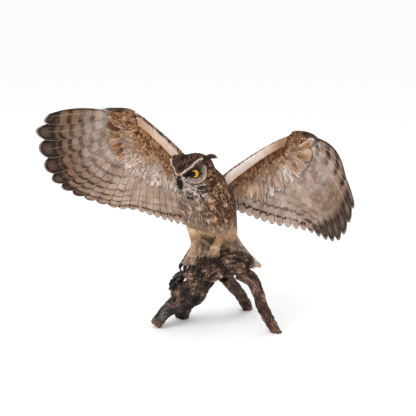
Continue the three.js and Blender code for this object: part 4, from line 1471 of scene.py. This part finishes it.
for name in WINGS:
    coat("coverts_under_" + name, covert_batches(name, 1) + fringe_batches(name), "wing_coverts")
    coat("coverts_over_" + name, covert_batches(name, -1), "wing_coverts")


# ---- Flight feathers, tail and alulae --------------------------------------------------------

BLADE_V = np.array([-1.0, -0.88, -0.68, -0.42, -0.16, 0.0, 0.16, 0.42, 0.68, 0.88, 1.0])
BLADE_ROWS = 40
BLADE_STEP = 0.01             # step for the slopes of a broad feather's surface


def blade_piece(name, middle, numbers, half, run_to, rise, thick, material, slot, node, first=1.0):
    """Broad feathers as closed sheets whose lower side looks towards -Y. `middle(place, run)` is the
    surface they lie in, `half` the half width in feather numbers at u, `run_to(number, v)` where the
    outline ends and `rise(v, u, number)` the height over the surface. The outer half of feather 0
    is `first` times as wide."""
    u, v = crossed(np.linspace(0, 1, BLADE_ROWS) ** 0.92, BLADE_V)
    number = np.asarray(numbers, float)[:, None, None]
    aside = half(u) * v * np.where((number == 0) & (v < 0), first, 1.0)
    place = number + aside
    run = run_to(number, aside) * u
    base = middle(place, run)
    normal = unit(np.cross(middle(place + BLADE_STEP, run) - middle(place - BLADE_STEP, run),
                           middle(place, run + BLADE_STEP) - middle(place, run - BLADE_STEP)))
    normal = -normal * np.sign(normal[..., 1].mean())
    core = base + normal * rise(v, u, number)[..., None]
    quill = 0.3 * np.exp(-(v / 0.07) ** 2) * (1 - u)
    body = thick / 2 * np.sqrt(1 - v**4) * np.sqrt(np.clip(1 - u**12, 0, 1)) + quill
    points = closed_vanes(core + normal * body[..., None], core - normal * body[..., None])
    shaft = len(BLADE_V) // 2
    line = middle(np.broadcast_to(number, run.shape)[:, :, shaft], run[:, :, shaft])
    from_tip = (1 - u) * np.linalg.norm(np.diff(line, axis=1), axis=-1).sum(1)[:, None, None]
    count, size = points.shape[:2]
    front, back = vane_faces(*u.shape)
    piece = make_mesh(name, points.reshape(-1, 3), each_with(np.concatenate([front, back]), count, size))

    def spread(*values):
        grids = np.stack(np.broadcast_arrays(*values, place)[:-1], -1)
        return closed_vanes(grids, grids).reshape(-1, len(values))
    give(piece, "vane", spread(u, v, rng.random((count, 1, 1))))
    lower = np.repeat([1.0, 0.0], [u.size, size - u.size])
    give(piece, "reach", np.column_stack([spread(from_tip / 100, number), np.tile(lower, count)]))
    column = (np.arange(count)[:, None, None] + 0.5 + 0.46 * v) / count
    halves = np.tile(np.repeat([[0, 0.5], [0, 0]], [front.size, back.size], axis=0), (count, 1))
    give_bake_map(piece, spread(column, 0.02 + 0.46 * u), halves)
    finish_piece(piece, material, slot, [node])


def wing_blades(side, part, numbers, paint):
    """Flight feathers of one part of a wing, whose tips are the more pointed the further out."""
    wing = WINGS[side]

    def run_to(number, offset):
        notch = mix(wing["notch"], NOTCH, np.clip(number / PRIMARIES, 0, 1))
        dip = wing["short_by"] * np.exp(-(((number + offset - 11) / 1.3) ** 2))
        return 1 - dip - notch * np.abs(2 * offset) ** 2.4
    blade_piece(f"{part}_{side}", lambda place, run: fan(wing, place, run), numbers,
                lambda u: mix(0.66, 0.60, u) * mix(1, 0.9, smooth(0.85, 1, u)), run_to,
                lambda v, u, number: 0.5 * v * smooth(0, 0.2, u), 0.9, paint, "flight_feathers",
                f"wing_{side}_{part}", wing["outer_vane"])


def tail_side(place):
    """Place across the tail, -1 to 1, of a feather number."""
    return (place + 0.5) / TAIL_FEATHERS * 2 - 1


def tail_rise(v, u, number):
    """Height of the tail feathers: seen from below, the inner edge of each covers the next one in."""
    aside = tail_side(number)
    return 0.8 * np.abs(aside) - 0.8 * v * np.tanh(6 * aside)


def alula_blades(side, paint):
    """Three stiff feathers of the thumb, side by side along its path."""
    rows = np.array(ALULA[side], float)
    ends = np.array([0.84, 1.0, 0.88])

    def middle(place, run):
        knots = np.arange(len(rows))
        here = line_weights(knots, run * knots[-1]) @ rows
        ahead, behind = (line_weights(knots, run * knots[-1] + step) for step in (0.02, -0.02))
        across = unit(np.cross(unit((ahead - behind) @ rows[:, :3]), [0.0, -1.0, 0.0]))
        return here[..., :3] + across * ((place - 1) * here[..., 3] * 0.75)[..., None]
    blade_piece("alula_feathers_" + side, middle, np.arange(3), lambda u: mix(0.6, 0.95, smooth(0, 0.4, u)),
                lambda number, offset: ends[number.astype(int)] * (1 - 0.10 * np.abs(2 * offset) ** 2.2),
                lambda v, u, number: 0.7 * v + 0.5 * number, 1.0, paint, "plumage_dark", "alula_" + side)


wing_paints = {
    "right": flight_material("flight feathers right", "7b604c", "b59c8a", "1f130e", (20.0, 11.0),
                             (66.0, 15.0), (7.0, 11.5), 5.0, "75563f", (0.12, 0.06), 0.88),
    "left": flight_material("flight feathers left", "88705f", "b19b8d", "24150f", (26.0, 11.5),
                            (110.0, 19.0), (0.4, 1.8), 6.0, "75563f", (0.35, 0.12), 0.94),
}
# On the tail, the dark olive tone towards the roots of the first eight feathers is painted shade of the
# hollow at the tail's root.
tail_paint = flight_material("tail feathers", "f0d9c3", "f0d9c3", "5a4030", (11.0, 11.0), (50.0, 50.0),
                             (7.0, 11.5), -5.0, "7a5a44", (0.1, 0.1), 0.35, ("54401f", 52.0, 0.9, 7.0))
thumb_paint = flight_material("thumb feathers", "a07c62", "a07c62", "1d120e", (14.0, 14.0), (30.0, 30.0),
                              (7.0, 11.5), 3.0, "5c4231")
for name, paint in wing_paints.items():
    wing_blades(name, "primaries", np.arange(PRIMARIES), paint)
    wing_blades(name, "secondaries", np.arange(PRIMARIES, FEATHERS), paint)
blade_piece("tail_feathers", lambda place, run: tail_fan(tail_side(place), run), np.arange(TAIL_FEATHERS),
            lambda u: mix(0.5, 0.62, u), lambda number, offset: 1 - 0.05 * np.abs(2 * offset) ** 2.4,
            tail_rise, 0.9, tail_paint, "flight_feathers", "tail")
for name in ALULA:
    alula_blades(name, thumb_paint)


# ---- Paint of the skin -----------------------------------------------------------------------

for wing in WINGS.values():
    lengths = chord_lengths(wing)
    grey = wing["grey"]
    for share in np.arange(0.1, 1.0, 0.15):      # the smooth pale strip behind the dark fringe
        root = wing_row(wing, lengths, wing["fringe"] + share * wing["strip"], 2.0, 0)
        root = root[root[:, 0] > 9.0]
        # Painted shade: the strip of the right wing, turned to the light, is painted well towards covert
        # grey; that of the left hardly.
        tone = layered("strip", (smooth(0.45, 1, share) * 0.55, "covert_peach"),
                       (0.8 - 2 * grey, "covert_grey"),
                       (smooth(15.0, 10.3, root[:, 0]) * (0.5 + grey), "fringe_pale"),
                       (smooth(12.6, 10.3, root[:, 0]) * (0.3 + grey), "covert_brown"))
        painted_roots.append((wing_skin(wing, 1)(root), tone))
all_roots, all_tones = (np.concatenate(values) for values in zip(*painted_roots))
give(skin, "tone", opaque(all_tones[nearest(vertices_of(skin), all_roots)]))
flesh = ["head", "neck", "trunk"]
flesh += [f"{part}_{side}" for part in ("leg", "foot", "ear_tuft") for side in ("right", "left")]
flesh += [f"wing_{side}_{part}" for side in WINGS for part in ("arm", "hand")]
finish_piece(skin, plain_paint("painted skin", None, 0.25, 0.0002, 0.5, 0.65, 0.12), "plumage_body", flesh)


# ---- Eyes, lids, bill and claws --------------------------------------------------------------

GAZE = [0.95, 0.28, 0.05]
LID_SHARES = [0.0, 0.12, 0.3, 0.55, 1.0]        # places across a lid, from its edge outwards
LID_RISE = [-0.3, 0.75, 0.95, 0.7, -0.6]        # height of the lid over the eyeball there
LID_RIM = np.radians(84)                        # polar angle of the lids' outer edge
CULMEN = np.pi / 2                              # angle round the bill at which its ridge stands


def grids_piece(name, *grids):
    """One piece from grids of points, each with its own column of the bake map."""
    points, faces, maps, base = [], [], [], 0
    for k, grid in enumerate(grids):
        rows, columns = grid.shape[:2]
        down, over = crossed(np.linspace(0.02, 0.98, rows), np.linspace(0.02, 0.98, columns))
        points.append(grid.reshape(-1, 3))
        faces.append(quads(base + np.arange(rows * columns).reshape(rows, columns)))
        maps.append(np.stack([(over + k) / len(grids), down], -1).reshape(-1, 2))
        base += rows * columns
    piece = make_mesh(name, np.concatenate(points), np.concatenate(faces))
    give_bake_map(piece, np.concatenate(maps))
    return piece


def around(centre, axis, radius, polar, turn):
    """Point of a ball in the head at a polar angle from its axis and a turn round it."""
    ahead, level, up = ball_frame(axis)
    place = (ahead * np.cos(polar)[..., None] + level * (np.sin(polar) * np.cos(turn))[..., None]
             + up * (np.sin(polar) * np.sin(turn))[..., None])
    return in_head(centre + place * np.asarray(radius)[..., None])


def eye_material():
    """Glossy amber iris with darker streaks and rim round a black pupil."""
    material, w, shader = new_material("painted eye")
    polar = w.split("gaze")[0]
    streaks = w.noise(w.whole("rays", "Vector"), 9.0, 2.0)
    iris = w.blend(w.ramp(0.35, 0.65, streaks), "b27c0a", "cc940e")
    iris = w.blend(w.ramp(0.62, 0.86, polar), iris, "cda024")
    iris = w.blend(w.ramp(0.90, 1.02, polar), iris, "6b4a0c")
    w.put(shader.inputs["Base Color"], w.blend(w.ramp(0.50, 0.46, polar), iris, "050404"))
    set_finish(shader, 0.28, 0.15, 0.06)
    return material


def lid_profile(turn, side):
    """Polar angle of the lids' edge: rounder below, lowered above and drawn in beside the bill."""
    above, billward = np.maximum(np.sin(turn), 0), np.maximum(-side * np.cos(turn), 0)
    return np.radians(49 - 8 * above**2 - 9 * billward**2)


eye_paint = eye_material()
lid_paint = plain_paint("lids", "0c0908", 0.2, 0.00015, 0.5, 0.5, 0.12)
turns = np.linspace(0, TURN, 65)
for side, name in ((1, "left"), (-1, "right")):
    centre = mirrored(EYE, side)
    polar, turn = crossed(np.linspace(0, np.pi, 41), turns)
    piece = grids_piece("eyeball_" + name, around(centre, mirrored(GAZE, side), EYE_RADIUS, polar, turn))
    give(piece, "gaze", np.stack([polar, 0 * polar, 0 * polar], -1).reshape(-1, 3))
    give(piece, "rays", np.stack([np.cos(turn), np.sin(turn), 0.12 * polar], -1).reshape(-1, 3))
    finish_piece(piece, eye_paint, "eye_amber", ["eye_" + name])
    share, turn = crossed(LID_SHARES, turns)
    edge = lid_profile(turn, side)
    polar = edge + (LID_RIM - edge) * np.maximum((share - LID_SHARES[1]) / (1 - LID_SHARES[1]), 0)
    reach = EYE_RADIUS + np.interp(share, LID_SHARES, LID_RISE)
    finish_piece(grids_piece("lids_" + name, around(centre, mirrored(EYE_FACING, side), reach, polar, turn)),
                 lid_paint, "horn_black")


def horn_grid(surface, rows=36, columns=33):
    """Grid of points of a limb of horn."""
    return surface(np.stack(crossed(np.linspace(0, 1, rows), np.linspace(0, TURN, columns)), -1))


def horn_piece(name, grids, low, high, shares, nodes=()):
    """Bill or claws, toned from `low` to `high` by the share at each point."""
    piece = grids_piece(name, *grids)
    give(piece, "tone", opaque(mix(colour(low), colour(high), shares(vertices_of(piece))[:, None])))
    finish_piece(piece, horn_paint, "horn_black", nodes)


def bill_rows(rows):
    """Stations along a bill in the statue, from rows of forward, up and half sizes in the head."""
    return [[*in_head([f, 0, u]), wide, deep] for f, u, wide, deep in rows]


def culmen(angle, run):
    """Narrow ridge along the top of the bill and flatter cheeks."""
    return 1 + 0.10 * np.exp(-(np.sin((angle - CULMEN) / 2) / 0.22) ** 2) - 0.05 * np.sin(angle) ** 2


horn_paint = plain_paint("painted horn", None, 0.3, 0.00012, 0.4, 0.45, 0.14, 0.02)
bill_side = HEAD_MATRIX @ [1, 0, 0]
upper_bill = limb(bill_rows(BEAK), side=bill_side, swell=culmen)
lower_bill = limb(bill_rows(LOWER_BEAK), side=bill_side)
horn_piece("bill_horn", [horn_grid(upper_bill), horn_grid(lower_bill)], "0d0a09", "1f1a18",
           lambda points: smooth(-1.0, 4.0, to_head(points)[:, 2]), ["beak"])
horn_piece("claws", [horn_grid(claw, 22, 17) for claw in claw_limbs.values()], "0e0a09", "2a201b",
           lambda points: np.clip(patchy(points, 6, 4), 0, 1))


# ---- Driftwood -------------------------------------------------------------------------------

CURL = 2                      # number of the curl among the limbs, after the log and the knot
WOOD_SWELL = [0.4, 1.9, 0.9, 2.6, 3.3, 4.2]   # phase of each limb's knobs
SIDE_FOOT = [112, 20, 4]      # where the leg at the side meets the ground
WHORL = [-50, -30, 49]        # middle of the hollow burr on the knot
BURR = [1, 0.8, 1]            # its depth counts for less


def gnarled(phase):
    """Swell of a limb by knobs that wind round it."""
    def swell(angle, run):
        return (1 + 0.07 * np.sin(3 * angle + 5 * run + phase)
                + 0.049 * np.sin(5 * angle - 11 * run + 2 * phase))
    return swell


def wood_side(name):
    """Way along which the half width of a limb of driftwood is measured."""
    return (1, 0, 0) if name == "driftwood_leg_back" else (0, 1, 0)


def wood_places(points):
    """For each point the number of the limb it belongs to, the distance along it and the angle
    round it."""
    paths = []
    for number, (name, rows) in enumerate(LIMBS.items()):
        line = along_rows(rows, 80)
        tangent = unit(np.gradient(line[:, :3], axis=0))
        side = np.array(wood_side(name), float)
        across = unit(side - tangent * (tangent @ side)[:, None])
        paths.append(np.column_stack([line, across, np.cross(tangent, across), mileage(line[:, :3]),
                                      np.full(80, number)]))
    path = np.concatenate(paths)

    def closest(block):
        return (np.linalg.norm(block[:, None] - path[None, :, :3], axis=-1) / path[:, 3]).argmin(1)
    here = path[in_blocks(closest, points)]
    away = points - here[:, :3]
    angle = np.arctan2((away * here[:, 8:11]).sum(1), (away * here[:, 5:8]).sum(1))
    return here[:, 12], here[:, 11], angle


def crumbled(points, size, seed):
    """Ridged lumps between -1 and 1: how near each point lies to the creases of several waves."""
    phases = plane_waves(points, size, seed, 5, 1.5) + 1.3 * patchy(points, size * 2.2, seed + 1)[:, None]
    return 1 - 2 * np.abs(np.sin(phases)).mean(-1) ** 1.5 * 1.4


def bark_relief(points, number, miles, angle):
    """Bark between about -1 and 1: ridges that run along each limb and wander, crumbled lumps on
    the log and knot, and rings round the hollow of the burr."""
    warp = 0.9 * patchy(points, 34, 21) + 0.35 * patchy(points, 13, 22)
    ridges = 1 - 2 * np.abs(np.sin(angle * 4 + 0.045 * miles + 2.2 * warp + number))
    fine = 1 - 2 * np.abs(np.sin(angle * 13 + 0.11 * miles + 3.0 * warp))
    rough = np.where(number <= CURL, 1.0, 0.35)
    reach = np.linalg.norm((points - WHORL) * BURR, axis=1)
    rings_in = np.cos(reach * TURN / 6.4 + 2.0 * warp) * smooth(19, 12, reach)
    lumps = 0.6 * crumbled(points, 17, 31) + 0.45 * crumbled(points, 7.5, 41)
    plain = 0.35 * ridges + 0.22 * fine + rough * lumps + 0.5 * patchy(points, 26, 23)
    burr = 0.35 * rings_in + 0.35 * plain + 0.5 - 2.8 * smooth(5.0, 2.0, reach) - 0.9 * smooth(10, 6, reach)
    plain = plain + 0.9 * (number == CURL) * patchy(points, 9, 57)
    return mix(plain, burr, 0.9 * smooth(18, 12, reach))


# Dark and light paint of each limb.
WOOD_TONES = {"driftwood_log": ("4b342b", "b09079"), "driftwood_knot": ("2d211d", "7d6053"),
              "driftwood_curl": ("2b2521", "776a5e"), "driftwood_branch_front": ("2a2725", "6c655e"),
              "driftwood_leg_side": ("3a2823", "8c6a5b"), "driftwood_leg_back": ("3b2820", "835f49")}


def wood_tones(points):
    """Dark and light paint at each point, blended where the limbs meet."""
    weights = []
    for rows in LIMBS.values():
        line = along_rows(rows, 40)
        gap = np.stack([np.linalg.norm(points - here[:3], axis=1) / here[3] for here in line]).min(0)
        weights.append(np.exp(-6 * gap))
    weights = np.stack(weights, -1) / np.sum(weights, 0)[:, None]
    dark, light = (weights @ np.array([colour(tones[k]) for tones in WOOD_TONES.values()]) for k in (0, 1))
    burr = smooth(17, 12, np.linalg.norm(points - WHORL, axis=1))[:, None]
    tip = smooth(17, 9, np.linalg.norm(points - LIMBS["driftwood_branch_front"][-1][:3], axis=1))[:, None]
    foot = smooth(30, 12, np.linalg.norm(points - SIDE_FOOT, axis=1))[:, None]
    light = mix(light, colour("7f5d4b"), burr)
    light = mix(light, colour("a9815f"), np.maximum(tip, 0.5 * foot))
    dark = mix(dark, colour("5b4231"), np.maximum(tip, 0.4 * foot) * 0.8)
    return dark, light


wood_limbs = [limb(rows, side=wood_side(name), swell=gnarled(phase), shrink=0.4)
              for (name, rows), phase in zip(LIMBS.items(), WOOD_SWELL)]
wood = fused("driftwood", [tube(surface, 60, 56) for surface in wood_limbs], WOOD_VOXEL)
wood_points = vertices_of(wood)
limb_number, miles, angle = wood_places(wood_points)
relief = bark_relief(wood_points, limb_number, miles, angle)
moved = wood_points + fetch(wood.data.vertices, "normal", 3) * (BARK * relief)[:, None]
wood.data.vertices.foreach_set("co", to_frame(moved).astype(np.float32).ravel())
give(wood, "relief", np.stack([relief, miles / 100, angle], -1))
for key, tones in zip(("hollow", "ridge"), wood_tones(wood_points)):
    give(wood, key, opaque(tones))
shape = bmesh.new()
shape.from_mesh(wood.data)
cut = bmesh.ops.bisect_plane(shape, geom=[*shape.verts, *shape.edges, *shape.faces],
                             plane_co=to_frame([0, 0, 0]), plane_no=(0, 0, 1), clear_inner=True)
bmesh.ops.holes_fill(shape, edges=[part for part in cut["geom_cut"] if isinstance(part, bmesh.types.BMEdge)])
shape.to_mesh(wood.data)
shape.free()
bpy.ops.object.select_all(action="DESELECT")
unwrap(wood)


def wood_material():
    """Driftwood: dark in its hollows, rubbed with each limb's lighter paint on its ridges, with
    streaks along the grain and specks of bare paint."""
    material, w, shader = new_material("painted driftwood")
    relief, miles, turn = w.split("relief")
    place = w.here()
    clouds = w.noise(place, 55.0)
    specks = w.noise(place, 380.0, 4.0)
    wound = {0: w.product(miles, 3.0), 1: w.math("SINE", turn), 2: w.math("COSINE", turn)}
    grain = w.noise(w.add("CombineXYZ", wound).outputs[0], 5.5, 5.0)
    height = w.plus(relief, w.product(w.minus(specks, 0.5), 2.4))
    height = w.plus(height, w.product(w.minus(grain, 0.5), 2.2))
    rubbed = w.product(w.ramp(-0.5, 0.8, height), w.ramp(0.3, 0.6, clouds, 0.4, 1.0))
    worn = w.product(w.ramp(0.9, 1.6, height), w.ramp(0.62, 0.45, clouds), 0.6)
    paint = w.blend(w.ramp(-1.5, -0.5, height), "120d0b", w.whole("hollow"))
    paint = w.blend(worn, w.blend(rubbed, paint, w.whole("ridge")), "b39a84")
    brushed = put_paint(w, shader, paint, 0.5, 0.62, 0.18)
    set_bump(w, shader, w.plus(specks, w.product(brushed, 0.5)), 0.0009, 0.9)
    return material


finish_piece(wood, wood_material(), "driftwood", list(LIMBS))


# ---- Floor, light and camera -----------------------------------------------------------------

def placed(piece, place, target):
    """Links a lamp or camera in, stands it at `place` and aims it at `target`, in millimetres."""
    spot = Vector(to_frame(place))
    piece.location = spot
    piece.rotation_euler = (Vector(to_frame(target)) - spot).to_track_quat("-Z", "Y").to_euler()
    bpy.context.scene.collection.objects.link(piece)
    return piece


def soft_panel(name, place, size, power):
    """Square soft light aimed at the breast."""
    data = bpy.data.lights.new(name, "AREA")
    data.shape = "SQUARE"
    data.size = size
    data.energy = power
    return placed(bpy.data.objects.new(name, data), place, [0, 0, 180])


far = 30000.0
corners = np.array([[-far, -far], [far, -far], [far, far], [-far, far]])
floor = make_mesh("floor", np.column_stack([corners, np.full(4, -0.3)]), np.array([[0, 1, 2, 3]]))
floor_paint, _, floor_shader = new_material("pale floor")
floor_shader.inputs["Base Color"].default_value = (0.97, 0.97, 0.97, 1)
set_finish(floor_shader, 0.9, 0.1)
floor.data.materials.append(floor_paint)

TARGET = np.array([0.0, 0.0, 200.0])
AZIMUTH, ELEVATION, DISTANCE = np.radians(25), np.radians(14), 1479.0
away = ball_way(np.pi / 2 - ELEVATION, AZIMUTH - np.pi / 2)
camera = bpy.data.objects.new("camera", bpy.data.cameras.new("camera"))
placed(camera, TARGET + DISTANCE * away, TARGET)
camera.data.lens = 80
camera.data.sensor_width = 36
camera.data.clip_end = 200
bpy.context.scene.camera = camera

soft_panel("key light", [-700, -1100, 1300], 0.9, 11.0)
soft_panel("fill light", [1300, -900, 600], 1.2, 2.5)
soft_panel("rim light", [300, 1300, 1100], 1.0, 3.0)
world = bpy.data.worlds.new("studio")
bpy.context.scene.world = world
world.use_nodes = True
background = world.node_tree.nodes["Background"]
background.inputs["Color"].default_value = (1, 1, 1, 1)
background.inputs["Strength"].default_value = 1.0
bpy.context.scene.view_settings.view_transform = "Standard"
